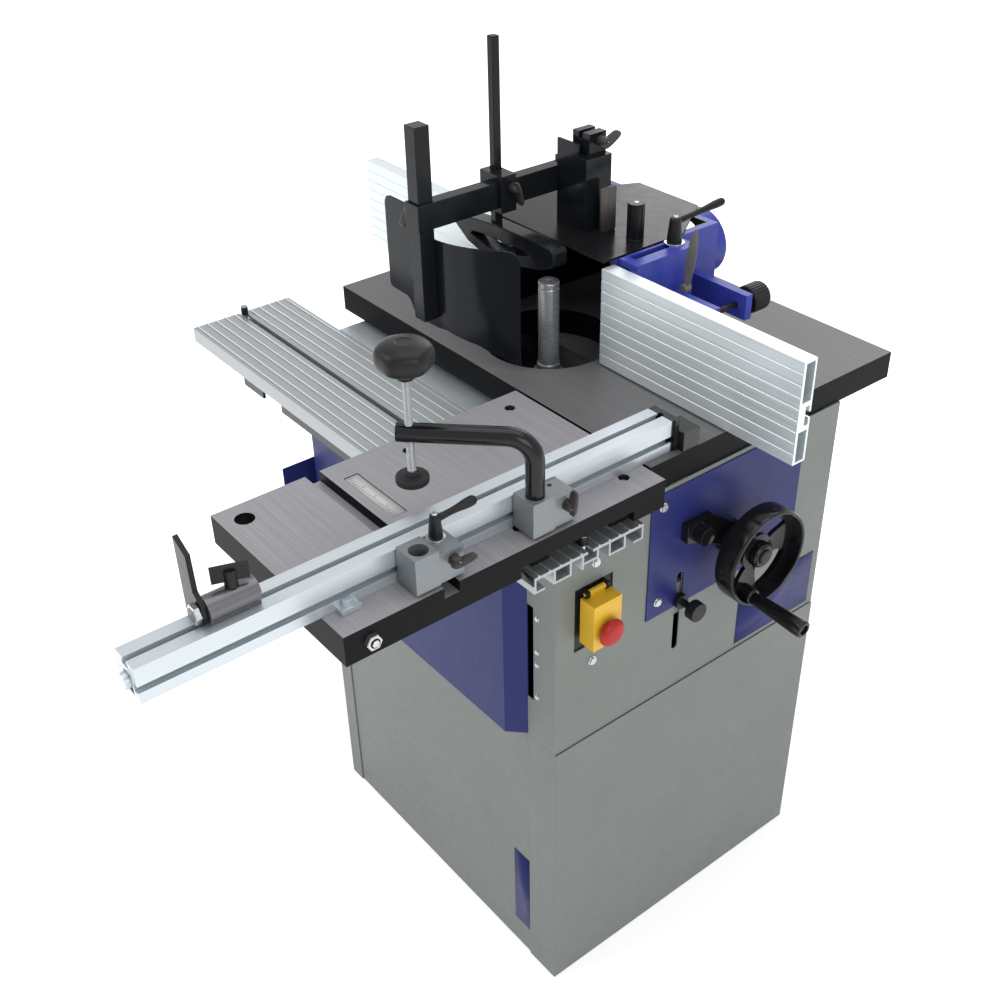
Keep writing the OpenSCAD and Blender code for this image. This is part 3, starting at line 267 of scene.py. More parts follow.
def meshed(name, shape):
    """Turns a bmesh into a mesh whose faces are shaded smooth."""
    mesh = bpy.data.meshes.new(name)
    shape.to_mesh(mesh)
    shape.free()
    mesh.polygons.foreach_set("use_smooth", [True] * len(mesh.polygons))
    return mesh


def dressed(name, mesh, material, body, slot, *stands_for):
    """A finished piece that rides on its body and stands for the CAD nodes it replaces."""
    piece = bpy.data.objects.new(name, mesh)
    bpy.context.scene.collection.objects.link(piece)
    mesh.materials.clear()
    mesh.materials.append(material)
    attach(piece, body)
    if stands_for:
        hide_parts(*stands_for)
    return piece


def softened(piece, width, steps=2, corner=30):
    """Small radii on a piece's sharp corners, with flat faces shaded flat."""
    bevel = piece.modifiers.new("Corners", "BEVEL")
    bevel.width = width
    bevel.segments = steps
    bevel.limit_method = "ANGLE"
    bevel.angle_limit = math.radians(corner)
    bevel.harden_normals = True
    weighted = piece.modifiers.new("Shading", "WEIGHTED_NORMAL")
    weighted.keep_sharp = True


def eased(node, width, material, steps=2):
    """A node's own shape, its corners eased as folding or casting leaves them."""
    source = nodes[node]
    name = node + "_shape"
    shape = bmesh.new()
    shape.from_mesh(source.data)
    bmesh.ops.remove_doubles(shape, verts=shape.verts, dist=SAME_POINT)
    bmesh.ops.dissolve_limit(shape, angle_limit=NEARLY_FLAT, verts=shape.verts, edges=shape.edges)
    piece = dressed(name, meshed(name, shape), material, source["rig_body"], slot_of[node], node)
    softened(piece, width, steps)


def painted(material, *names):
    """A node keeps its own shape and only gets its finish."""
    for node in names:
        nodes[node].data.materials.clear()
        nodes[node].data.materials.append(material)


cabinet_paint = powder_coat("grey_green_powder", GREY_GREEN, 0.42)
painted(cabinet_paint, "cabinet_base", "cabinet_rear", "table_frame")
for panel in ("cabinet_left", "cabinet_front", "cabinet_right_lower", "cabinet_right_upper"):
    eased(panel, SHEET_FOLD, cabinet_paint)

# The front cover is one pressing with bevelled ends, in royal blue, with a small side plate
# at its left end. The control panel behind the handwheel is flat sheet in the same paint.
ROYAL_BLUE = (0.018, 0.024, 0.130, 1)
PANEL_EDGE = 0.6 * MM
cover_paint = powder_coat("royal_blue_powder", ROYAL_BLUE, 0.36, 0.15, 0.16)
eased("front_cover", SHEET_FOLD, cover_paint)
eased("control_panel", PANEL_EDGE, cover_paint)

# Pan-head screws hold the panels, each a turned steel head with a socket. They are one
# repeated head, set out from a list of places on the right side and on the front post.
# Here and below, a profile's rows are radius, height and the fillet at that corner, in mm.
BRIGHT_STEEL = (0.50, 0.51, 0.53, 1)
SCREW_SIDES = 40
SCREW_HEAD = ((0, 1.2, 0), (2.1, 1.2, 0), (2.3, 3.0, 0.3), (4.4, 2.7, 0.9), (5.0, 0.9, 0.4),
              (6.6, 0.8, 0.3), (6.6, 0, 0), (0, 0, 0))
PANEL_SCREWS = ((0, -80.5, 785), (0, -81.5, 636), (0, 162.5, 636), (0, 162.5, 785),
                (-2, -190, 752), (-2, -192, 597))
POST_SCREW_X = 240
POST_SCREW_HEIGHTS = (545, 600, 621, 675)
POST_SCREW_SIZE = 0.6


def filleted(corners, steps=4):
    """A profile's points, with each fillet drawn as a short curve."""
    points = []
    for index, (radius, height, fillet) in enumerate(corners):
        here = Vector((radius, height))
        if not fillet or index in (0, len(corners) - 1):
            points.append(here)
            continue
        before = Vector(corners[index - 1][:2])
        after = Vector(corners[index + 1][:2])
        start = here + (before - here).normalized() * fillet
        end = here + (after - here).normalized() * fillet
        for step in range(steps + 1):
            t = step / steps
            points.append(start * (1 - t) ** 2 + here * 2 * t * (1 - t) + end * t ** 2)
    return points


def polar(radius, angle, height):
    """A point at an angle about the Z axis, given in millimetres and returned in metres."""
    return Vector((radius * math.cos(angle), radius * math.sin(angle), height)) * MM


def turned(shape, corners, place, sides=48, wave=None):
    """Adds a lathe-turned form to a mesh: the profile spun about the Z axis of its place."""
    rings = []
    for point in filleted(corners):
        if point.x < 1e-4:
            rings.append([shape.verts.new(place @ polar(0, 0, point.y))])
            continue
        ring = []
        for index in range(sides):
            angle = 2 * math.pi * index / sides
            reach = point.x if wave is None else point.x * wave(angle, point)
            ring.append(shape.verts.new(place @ polar(reach, angle, point.y)))
        rings.append(ring)
    for low, high in zip(rings, rings[1:]):
        for index in range(sides):
            after = (index + 1) % sides
            corner = [low[index % len(low)], low[after % len(low)],
                      high[after % len(high)], high[index % len(high)]]
            corner = list(dict.fromkeys(corner))
            if len(corner) > 2:
                shape.faces.new(corner)
    for ring in (rings[0], rings[-1]):
        if len(ring) > 1:
            shape.faces.new(ring)


def standing(at, axis, turn=0.0):
    """A place whose Z axis points along axis, in metres."""
    facing = Vector(axis).to_track_quat("Z", "Y").to_matrix().to_4x4()
    return Matrix.Translation(Vector(at)) @ facing @ Matrix.Rotation(turn, 4, "Z")


def finished(name, shape, sharp=32):
    """Turns a bmesh into a mesh, faces outwards, smooth but for its sharp corners."""
    bmesh.ops.recalc_face_normals(shape, faces=shape.faces)
    for edge in shape.edges:
        edge.smooth = len(edge.link_faces) == 2 and edge.calc_face_angle(0) < math.radians(sharp)
    return meshed(name, shape)


def built(name, shape, material, body, slot, *stands_for, sharp=32):
    """A dressed piece made straight from a bmesh."""
    return dressed(name, finished(name, shape, sharp), material, body, slot, *stands_for)


def bright_metal(name, colour, roughness, stretch=(1, 1, 1), scale=400, metallic=0.9):
    """Bare metal with fine tool lines along one direction."""
    material, tree, shader = shaded(name, colour, roughness, metallic=metallic)
    lines = grain(tree, scale, 2, stretch)
    uneven = spread(tree, lines, roughness - 0.07, roughness + 0.09)
    tree.links.new(uneven, shader.inputs["Roughness"])
    dented(tree, shader, lines, 0.25, 0.02 * MM)
    return material


def repeat_tree():
    """A node tree that stands one piece at every point and gives it a finish."""
    tree = bpy.data.node_groups.new("repeat_at_points", "GeometryNodeTree")
    for name, kind in (("Geometry", "Geometry"), ("Piece", "Object"), ("Turn", "Rotation"),
                       ("Size", "Float"), ("Finish", "Material")):
        tree.interface.new_socket(name, in_out="INPUT", socket_type="NodeSocket" + kind)
    tree.interface.new_socket("Geometry", in_out="OUTPUT", socket_type="NodeSocketGeometry")
    given = tree.nodes.new("NodeGroupInput")
    piece = tree.nodes.new("GeometryNodeObjectInfo")
    stand = tree.nodes.new("GeometryNodeInstanceOnPoints")
    real = tree.nodes.new("GeometryNodeRealizeInstances")
    finish = tree.nodes.new("GeometryNodeSetMaterial")
    out = tree.nodes.new("NodeGroupOutput")
    tree.links.new(given.outputs["Geometry"], stand.inputs["Points"])
    tree.links.new(given.outputs["Piece"], piece.inputs["Object"])
    tree.links.new(piece.outputs["Geometry"], stand.inputs["Instance"])
    tree.links.new(given.outputs["Turn"], stand.inputs["Rotation"])
    tree.links.new(given.outputs["Size"], stand.inputs["Scale"])
    tree.links.new(stand.outputs["Instances"], real.inputs["Geometry"])
    tree.links.new(real.outputs["Geometry"], finish.inputs["Geometry"])
    tree.links.new(given.outputs["Finish"], finish.inputs["Material"])
    tree.links.new(finish.outputs["Geometry"], out.inputs["Geometry"])
    return tree


REPEAT = repeat_tree()


def repeated(name, spots, template, turn, size, material, body):
    """One mesh with the template at every spot, made by the repeat tree and kept plain."""
    points = bpy.data.meshes.new(name + "_spots")
    points.from_pydata([tuple(Vector(spot) * MM) for spot in spots], [], [])
    holder = bpy.data.objects.new(name, points)
    bpy.context.scene.collection.objects.link(holder)
    model = bpy.data.objects.new(name + "_model", template)
    bpy.context.scene.collection.objects.link(model)
    modifier = holder.modifiers.new("Repeat", "NODES")
    modifier.node_group = REPEAT
    sockets = REPEAT.interface.items_tree
    given = {item.name: item.identifier for item in sockets if item.in_out == "INPUT"}
    modifier[given["Piece"]] = model
    modifier[given["Turn"]] = turn
    modifier[given["Size"]] = size
    modifier[given["Finish"]] = material
    graph = bpy.context.evaluated_depsgraph_get()
    made = bpy.data.meshes.new_from_object(holder.evaluated_get(graph))
    holder.modifiers.clear()
    holder.data = made
    bpy.data.objects.remove(model)
    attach(holder, body)


def screw_head():
    """A pan head on its washer, with a socket sunk in it."""
    shape = bmesh.new()
    turned(shape, SCREW_HEAD, Matrix.Identity(4), SCREW_SIDES)
    return finished("screw_head", shape)


plated = bright_metal("plated_steel_finish", BRIGHT_STEEL, 0.22)
panel_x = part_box("control_panel")[1].x / MM
post_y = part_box("cabinet_right_upper")[0].y / MM
painted(plated, "fixings")
repeated("panel_screws", [(panel_x + back, y, z) for back, y, z in PANEL_SCREWS], screw_head(),
         (0, math.pi / 2, 0), 1.0, plated, "root")
repeated("post_screws", [(POST_SCREW_X, post_y, z) for z in POST_SCREW_HEIGHTS], screw_head(),
         (math.pi / 2, 0, 0), POST_SCREW_SIZE, plated, "root")

# The switch has a black body behind the panel and a yellow flap over it, hinged at its top,
# moulded with soft corners. A red mushroom button stands in the flap's window.
YELLOW = (0.74, 0.44, 0.025, 1)
SWITCH_BLACK = (0.011, 0.011, 0.012, 1)
SIGNAL_RED = (0.42, 0.022, 0.016, 1)
SIGNAL_GREEN = (0.03, 0.30, 0.08, 1)
FLAP_CORNER = 3.0 * MM
BUTTON = ((0, 16, 0), (12, 15.4, 4), (17.5, 12, 3), (19, 9, 1.5), (19, 6.5, 1), (15, 4.6, 0.5),
          (7, 4.6, 0.5), (7, -10, 0), (0, -10, 0))


def moulded(name, colour, roughness, shine=0.35):
    """Injection-moulded plastic with a spark-eroded grain."""
    material, tree, shader = shaded(name, colour, roughness, shine=shine)
    mottled(tree, shader, colour, grain(tree, 25, 3), 0.93, 1.05)
    dented(tree, shader, grain(tree, 1800, 2), 0.3, 0.05 * MM)
    return material


def face_centre(node, axis, end):
    """The middle of a face of a node's box, the low (0) or the high (1) one along an axis."""
    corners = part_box(node)
    centre = (corners[0] + corners[1]) / 2
    centre[axis] = corners[end][axis]
    return centre


yellow_plastic = moulded("yellow_moulding", YELLOW, 0.38)
eased("switch_cover", FLAP_CORNER, yellow_plastic, 4)
black_plastic = moulded("black_moulding", SWITCH_BLACK, 0.36, 0.2)
eased("switch_box", 1.0 * MM, black_plastic)
red_plastic = moulded("red_moulding", SIGNAL_RED, 0.30, 0.2)
painted(moulded("green_moulding", SIGNAL_GREEN, 0.35), "start_button")
button_seat = face_centre("stop_button", 0, 0)
button_seat.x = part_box("switch_cover")[1].x
button = bmesh.new()
turned(button, BUTTON, standing(button_seat, (1, 0, 0)))
built("mushroom_button", button, red_plastic, "stop_button", slot_of["stop_button"],
      "stop_button")

# Two plain plates are glued to the sheet: a narrow one low on the front panel and a wide one
# on the right side, beside the handwheel. Both are bare sheet in the cover's blue.
PLATE_THICK = 0.8
PLATE_SINK = 2
post_face = post_y + PLATE_SINK
side_face = panel_x - PLATE_SINK
PLATES = (
    ("post_plate", (184, post_face - PLATE_THICK, 52), (219, post_face, 206)),
    ("side_plate", (side_face, 84, 474), (side_face + PLATE_THICK, 240, 566)),
)


def slab(shape, low, high):
    """Adds a box between two corners, in millimetres."""
    low, high = Vector(low) * MM, Vector(high) * MM
    place = Matrix.Translation((low + high) / 2) @ Matrix.Diagonal((*(high - low), 1))
    bmesh.ops.create_cube(shape, size=1.0, matrix=place)


for name, low, high in PLATES:
    shape = bmesh.new()
    slab(shape, low, high)
    built(name, shape, cover_paint, "root", slot_of["front_cover"])

# The main table is ribbed cast iron. Its top is ground along its length and oiled, its edges
# and underside are painted black, and a ring of screw holes goes round the opening.
IRON_TOP = (0.155, 0.152, 0.156, 1)
# Black paint on the tables' edges, the rails and the fence end; inside the hood the same black is
# painted shade.
BLACK_PAINT_AND_SHADE = (0.005, 0.005, 0.006, 1)
TABLE_CORNER = 1.2 * MM


def facing_up(tree):
    """1 on faces that look up, 0 on the others, with a short change between them."""
    parts = tree.nodes.new("ShaderNodeSeparateXYZ")
    normal = tree.nodes.new("ShaderNodeTexCoord").outputs["Normal"]
    tree.links.new(normal, parts.inputs["Vector"])
    return ranged(tree, parts.outputs["Z"], 0.0, 1.0, 0.90, 0.98)


def ground_table(name, top_colour, gloss):
    """Cast iron ground on top, with fine lines along X, and black paint on the edges."""
    material, tree, shader = shaded(name, top_colour, gloss)
    lines = grain(tree, 90, 3, (0.06, 6, 6))
    top = facing_up(tree)
    worn = mottled(tree, shader, top_colour, lines, 0.90, 1.12)
    tinted(tree, shader, top, BLACK_PAINT_AND_SHADE, worn)
    for socket, edge, ground in (("Roughness", 0.5, gloss), ("Metallic", 0.0, 0.2),
                                 ("Specular IOR Level", 0.08, 0.2)):
        tree.links.new(ranged(tree, top, edge, ground), shader.inputs[socket])
    dented(tree, shader, lines, 0.2, 0.02 * MM)
    return material


table_top = ground_table("ground_table_iron", IRON_TOP, 0.45)
eased("main_table", TABLE_CORNER, table_top)

# The sliding table is a second casting with a T slot and a shallow recess that holds a scale
# strip: thin white sheet with a tick every five millimetres, longer at each fifth.
SLIDE_TOP = (0.330, 0.325, 0.345, 1)
ENAMEL_BLACK = (0.010, 0.010, 0.012, 1)
STRIP_LOW = (56.5, -397.5, 849.0)
STRIP_HIGH = (156.5, -380.5, 849.5)
TICK_PITCH = 5
TICK_HALF = 0.35
TICK_INK = 0.05
slide_top = ground_table("ground_slide_iron", SLIDE_TOP, 0.48)
eased("sliding_table", TABLE_CORNER, slide_top)
black_paint = powder_coat("black_enamel", ENAMEL_BLACK, 0.22, 0.1, 0.16)
painted(black_paint, "slide_fittings")
strip = bmesh.new()
slab(strip, STRIP_LOW, STRIP_HIGH)
strip_paint = shaded("scale_white", (0.62, 0.63, 0.62, 1), 0.4)[0]
built("scale_strip", strip, strip_paint, "cross_table", "plated_steel")
tick_ink = shaded("scale_ink", (0.02, 0.02, 0.02, 1), 0.5)[0]
for name, length, step in (("scale_ticks", 4.5, TICK_PITCH),
                           ("scale_long_ticks", 8.5, 5 * TICK_PITCH)):
    tick = bmesh.new()
    slab(tick, (-TICK_HALF, 0, 0), (TICK_HALF, length, TICK_INK))
    count = int((STRIP_HIGH[0] - STRIP_LOW[0]) // step)
    spots = [(STRIP_LOW[0] + 2 + index * step, STRIP_LOW[1] + 1, STRIP_HIGH[2])
             for index in range(count)]
    repeated(name, spots, finished(name, tick), (0, 0, 0), 1.0, tick_ink,
             "cross_table")

# The track is one wide aluminium extrusion with shallow ridges and a T slot, natural anodised,
# bolted on two lighter rails. The fence plates and the mitre fence are the same stock.
ALUMINIUM = (0.56, 0.61, 0.645, 1)
FENCE_METAL = (0.72, 0.78, 0.80, 1)
# The darker tone between the track's ridges is painted shade.
TRACK_PLATE_SHADE = (0.36, 0.385, 0.40, 1)
TRACK_RIDGE = (0.72, 0.75, 0.77, 1)
ANODISED_METAL = 0.6
RIDGE_DEPTH = 0.7 * MM
RAIL_PAINT = 0.1 * MM
STOP_BOLT = ((0, 0.2, 0), (5.6, 0.2, 0), (5.6, 12.6, 0.8), (2.9, 13.4, 0.3), (2.6, 9, 0),
             (0, 9, 0))
STOP_LEFT_IN, STOP_RIGHT_IN = 11 * MM, 14 * MM
END_PIECE = (26, 1.6)
END_PIECE_HEIGHTS = (788, 799.4)


def anodised(name, along, colour=ALUMINIUM, roughness=0.36):
    """Brushed and anodised aluminium, with die lines along one axis of the object."""
    material, tree, shader = shaded(name, colour, roughness, metallic=ANODISED_METAL)
    stretch = [9.0, 9.0, 9.0]
    stretch[along] = 0.03
    lines = grain(tree, 60, 4, stretch)
    mottled(tree, shader, colour, lines, 0.93, 1.04)
    uneven = spread(tree, lines, roughness - 0.06, roughness + 0.10)
    tree.links.new(uneven, shader.inputs["Roughness"])
    dented(tree, shader, lines, 0.3, 0.03 * MM)
    return material


def parted(material, axis, place, other, metallic, beyond=False):
    """Gives anodised stock another colour before or beyond a place, as black paint or steel has,
    and as painted shade between the track's ridges.
    """
    tree = material.node_tree
    shader = tree.nodes["Principled BSDF"]
    own = shader.inputs["Base Color"].links[0].from_socket
    parts = tree.nodes.new("ShaderNodeSeparateXYZ")
    tree.links.new(own_place(tree), parts.inputs["Vector"])
    past = worked(tree, "GREATER_THAN", parts.outputs[axis], place)
    order = -1 if beyond else 1
    tinted(tree, shader, past, *(other, own)[::order])
    share = ranged(tree, past, *(metallic, ANODISED_METAL)[::order])
    tree.links.new(share, shader.inputs["Metallic"])
    return material


track_low, track_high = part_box("track_beam")
stock_x = anodised("anodised_along_x", 0, FENCE_METAL)
# Below the ridges' tops the track is darker and less metallic: painted shade between the ridges.
track_stock_painted_shade = parted(anodised("track_stock_painted_shade", 0, TRACK_RIDGE), "Z", track_high.z - RIDGE_DEPTH,
                     TRACK_PLATE_SHADE, 0.5)
rail_stock = parted(anodised("rail_stock", 0), "Z", track_low.z + RAIL_PAINT, BLACK_PAINT_AND_SHADE, 0.0)
painted(track_stock_painted_shade, "track_beam")
painted(rail_stock, "track_rails")
track_middle = (track_low.y + track_high.y) / 2
for name, x in (("stop_bolt_left", track_low.x + STOP_LEFT_IN),
                ("stop_bolt_right", track_high.x - STOP_RIGHT_IN)):
    cap = bmesh.new()
    turned(cap, STOP_BOLT, standing((x, track_middle, track_high.z), (0, 0, 1)), 36)
    built(name, cap, black_plastic, "root", "black_plastic")
# A thin black sheet, 26 mm long, covers the right end of the track's front face.
end_x, end_y = track_high.x / MM, track_low.y / MM
end_piece = bmesh.new()
slab(end_piece, (end_x - END_PIECE[0], end_y - END_PIECE[1], END_PIECE_HEIGHTS[0]),
     (end_x, end_y, END_PIECE_HEIGHTS[1]))
built("track_end_piece", end_piece, black_plastic, "root", "black_plastic")

# The spindle is ground steel in a cast quill, driven by a belt from the motor below the table.
# Only the arbor shows, with the cap screw that clamps the cutter block.
STEEL = (0.56, 0.59, 0.62, 1)
ground_steel = bright_metal("ground_steel_finish", STEEL, 0.30, (1, 1, 14), 120, 0.55)
eased("spindle_arbor", 0.5 * MM, ground_steel)
raw_casting = powder_coat("raw_casting", (0.16, 0.16, 0.16, 1), 0.6, 0.8)
painted(raw_casting, "slide_column", "spindle_carriage", "motor_pulley")
painted(ground_steel, "spindle_bearings", "lift_screw")
painted(powder_coat("motor_enamel", (0.05, 0.06, 0.08, 1), 0.45), "motor")
rubber = moulded("black_rubber", (0.015, 0.015, 0.015, 1), 0.7)
painted(rubber, "drive_belt")

# The handwheel is cast with a wide rim, and its hub, web and grip are finished in gloss black.
# It stands on a shaft that a black bearing block carries, and a black cap covers the shaft's end.
# Its angles turn from +Y to +Z, as its own joint does.
wheel_low, wheel_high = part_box("handwheel")
wheel_axis = face_centre("handwheel", 0, 1)
RIM_RADIUS = (wheel_high.y - wheel_low.y) / 2 / MM
RIM_WIDTH = 32
# Each corner of the rim's section is a depth below its radius and a height.
RIM_SECTION = ((5, 0.8), (4, 0), (1.5, 0), (0.4, 1.4), (0, 5), (0, 27), (0.4, 30.6), (1.5, 32),
               (4, 32), (5.2, 31), (5.2, 15), (5.2, 4))
KIDNEY_INNER, KIDNEY_OUTER = 26, 55
KIDNEY_HALF = 36
HANDLE_ANGLE = 247
HANDLE_REACH = 57
WEB_STEP = 3
WEB_THICK = 6.0
WEB_RADII = (16, 21, KIDNEY_INNER, 33, 41, 48, KIDNEY_OUTER, 60, RIM_RADIUS - 5)
HUB = ((0, -10, 0), (17, -10, 1.5), (18, 4, 0), (18, 21, 3), (14, 24, 1), (0, 24, 0))
GRIP_BOSS = ((0, 4, 0), (12.5, 4, 0), (12, 30, 1.5), (9.5, 32, 1), (0, 32, 0))
WHEEL_CAP = ((0, -2, 0), (11, -2, 0), (11, 1.8, 0.5), (9, 2.9, 0.6), (0, 3.1, 0))
CAP_SUNK = 8.0 * MM
gloss_black = shaded("gloss_black_enamel", (0.008, 0.008, 0.009, 1), 0.16, shine=0.26)[0]


def rim_loop(shape, loop, place, sides=96):
    """Adds a ring whose section is a closed loop of (radius, height) points."""
    rings = []
    for radius, height in loop:
        rings.append([shape.verts.new(place @ polar(radius, 2 * math.pi * step / sides, height))
                      for step in range(sides)])
    for low, high in zip(rings, rings[1:] + rings[:1]):
        for step in range(sides):
            after = (step + 1) % sides
            shape.faces.new((low[step], low[after], high[after], high[step]))


def dish(radius):
    """The web's height above the rim's back, lowest halfway out."""
    return 4 + 4 * math.cos(math.pi * min(1, radius / 60)) ** 2


def in_kidney(radius_low, radius_high, angle):
    """Whether a cell of the web lies in one of the three kidney openings."""
    off = min(abs((angle - HANDLE_ANGLE - 60 - 120 * turn + 180) % 360 - 180)
              for turn in range(3))
    return (radius_low >= KIDNEY_INNER - 0.1 and radius_high <= KIDNEY_OUTER + 0.1
            and off < KIDNEY_HALF)


def dished_web(shape, place, radii):
    """Adds the wheel's web: a shallow dish with kidney openings, both faces and all edges."""
    grid = {}
    for layer in (0, 1):
        for ring, radius in enumerate(radii):
            height = dish(radius) + layer * WEB_THICK
            for step in range(0, 360, WEB_STEP):
                at = polar(radius, math.radians(step), height)
                grid[layer, ring, step] = shape.verts.new(place @ at)
    cells = set()
    for ring in range(len(radii) - 1):
        for step in range(0, 360, WEB_STEP):
            if not in_kidney(radii[ring], radii[ring + 1], step + WEB_STEP / 2):
                cells.add((ring, step))
    for ring, step in sorted(cells):
        after = (step + WEB_STEP) % 360
        before = (step - WEB_STEP) % 360
        for layer in (0, 1):
            shape.faces.new((grid[layer, ring, step], grid[layer, ring + 1, step],
                             grid[layer, ring + 1, after], grid[layer, ring, after]))
        for near, first, second in (((ring - 1, step), (ring, step), (ring, after)),
                                    ((ring + 1, step), (ring + 1, step), (ring + 1, after)),
                                    ((ring, before), (ring, step), (ring + 1, step)),
                                    ((ring, after), (ring, after), (ring + 1, after))):
            if near not in cells:
                shape.faces.new((grid[(0, *first)], grid[(0, *second)],
                                 grid[(1, *second)], grid[(1, *first)]))


wheel_back = wheel_axis - Vector((RIM_WIDTH * MM, 0, 0))
wheel_place = Matrix.Translation(wheel_back) @ Matrix(
    ((0, 0, 1, 0), (1, 0, 0, 0), (0, 1, 0, 0), (0, 0, 0, 1)))
handle_place = Matrix.Translation(polar(HANDLE_REACH, math.radians(HANDLE_ANGLE), 0))
wheel = bmesh.new()
rim_loop(wheel, [(RIM_RADIUS - depth, height) for depth, height in RIM_SECTION], wheel_place)
dished_web(wheel, wheel_place, WEB_RADII)
turned(wheel, HUB, wheel_place, 64)
turned(wheel, GRIP_BOSS, wheel_place @ handle_place, 40)
built("wheel_casting", wheel, gloss_black, "wheel", slot_of["handwheel"], "handwheel")
eased("shaft_bearing", 2.0 * MM, gloss_black, 3)
eased("height_lock_knob", 1.2 * MM, black_plastic, 3)
painted(plated, "handwheel_shaft")
grip_low, grip_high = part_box("handwheel_handle")
grip_length = (grip_high.x - grip_low.x) / MM
grip = bmesh.new()
turned(grip, [(0, 0, 0), (4.0, 0, 0), (4.0, 11.2, 0), (8.4, 11.2, 1), (9.2, 22, 3), (10.4, 50, 10),
              (12, grip_length - 14, 5), (12, grip_length - 1, 1.5), (9.6, grip_length, 0.8),
              (7, grip_length, 0.5), (6.6, grip_length - 3, 0), (0, grip_length - 3, 0)],
       standing(face_centre("handwheel_handle", 0, 0), (1, 0, 0)), 40)
built("wheel_grip", grip, gloss_black, "crank_handle", slot_of["handwheel_handle"],
      "handwheel_handle")
washer = bmesh.new()
turned(washer, WHEEL_CAP, standing(wheel_axis - Vector((CAP_SUNK, 0, 0)), (1, 0, 0)), 40)
built("wheel_washer", washer, black_plastic, "wheel", "black_plastic")

# The hood is an iron casting in bright blue, with the dust port behind it; its inside is black, as
# painted shade in its hollow.
# Two brackets on its sides carry the fence plates, and a fine screw moves the right one.
BRIGHT_BLUE = (0.048, 0.068, 0.400, 1)
CAST_CORNER = 2.0 * MM
# A box in the hood's hollow, where the hood's colour is black as painted shade.
SHADE_BOX_LOW = Vector((-193, 40, 848)) * MM
SHADE_BOX_HIGH = Vector((27, 236, 1000)) * MM


def cast_paint(name, colour, shade_box=None):
    """Thick enamel over a sand casting, black within a box as painted shade in the hood's hollow.
    """
    material, tree, shader = shaded(name, colour, 0.32, shine=0.22)
    tone = mottled(tree, shader, colour, grain(tree, 12, 3), 0.92, 1.06)
    dented(tree, shader, grain(tree, 260, 3), 0.5, 0.2 * MM)
    if shade_box is None:
        return material
    low, high = shade_box
    held = worked(tree, "SUBTRACT", own_place(tree), (low + high) / 2, kind=VECTORS)
    away = worked(tree, "ABSOLUTE", held, kind=VECTORS)
    share = worked(tree, "DIVIDE", away, (high - low) / 2, kind=VECTORS)
    parts = tree.nodes.new("ShaderNodeSeparateXYZ")
    tree.links.new(share, parts.inputs["Vector"])
    most = worked(tree, "MAXIMUM", parts.outputs["X"], parts.outputs["Y"])
    most = worked(tree, "MAXIMUM", most, parts.outputs["Z"])
    # Within the box the colour is black: painted shade inside the hood.
    tinted(tree, shader, worked(tree, "GREATER_THAN", most, 1.0), BLACK_PAINT_AND_SHADE, tone)
    return material


hood_paint_and_shade = cast_paint("hood_enamel_and_painted_shade", BRIGHT_BLUE, (SHADE_BOX_LOW, SHADE_BOX_HIGH))
bracket_paint = cast_paint("bracket_enamel", BRIGHT_BLUE)
eased("hood_body", CAST_CORNER, hood_paint_and_shade, 3)
eased("outfeed_bracket", CAST_CORNER, bracket_paint, 3)
eased("infeed_bracket", CAST_CORNER, bracket_paint, 3)
eased("hood_top", 0.7 * MM, black_paint)
eased("fence_right", 0.4 * MM, stock_x)
eased("fence_left", 0.4 * MM, stock_x)

# A clamping lever holds the right bracket. It is a conical hub with an arm that swells to a
# round end, moulded in black, and a plated screw and washer hold it to its stud.
ARM_TILT = math.radians(82)
FENCE_LEVER_AT = (49, 147.5, 998.0)


def ratchet_lever(name, node, at, turn, hub, height, reach):
    """A clamping lever on its stud, its arm turned about the stud by an angle in degrees."""
    foot = standing(Vector(at) * MM, (0, 0, 1))
    body = nodes[node]["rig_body"]
    shape = bmesh.new()
    turned(shape, [(0, 0, 0), (hub, 0, 0.8), (hub, 5, 1), (hub * 0.74, height - 2, 2),
                   (hub * 0.6, height, 0.8), (0, height, 0)], foot, 40)
    heading = math.radians(turn)
    along = (math.cos(heading) * math.sin(ARM_TILT), math.sin(heading) * math.sin(ARM_TILT),
             math.cos(ARM_TILT))
    turned(shape, [(0, 0, 0), (4.6, 0, 1), (3.6, reach * 0.35, 8), (4.2, reach * 0.62, 8),
                   (6, reach - 6, 6), (5.6, reach + 3, 2), (3, reach + 6, 1), (0, reach + 6, 0)],
           standing(Vector((at[0], at[1], at[2] + height - 7)) * MM, along), 28)
    built(name, shape, black_plastic, body, slot_of[node], node, sharp=40)
    trim = bmesh.new()
    rim = hub * 1.35
    turned(trim, [(0, -0.2, 0), (rim, -0.2, 0), (rim, 1.4, 0.4), (0, 1.6, 0)], foot, 40)
    turned(trim, [(0, height - 1, 0), (3.4, height - 1, 0), (3.4, height + 1.6, 0.6),
                  (1.6, height + 1.9, 0.2), (1.4, height + 0.4, 0), (0, height + 0.4, 0)], foot, 28)
    built(name + "_trim", trim, plated, body, "plated_steel")


ratchet_lever("fence_ratchet", "fence_lever", FENCE_LEVER_AT, 84, 10.5, 36, 78)

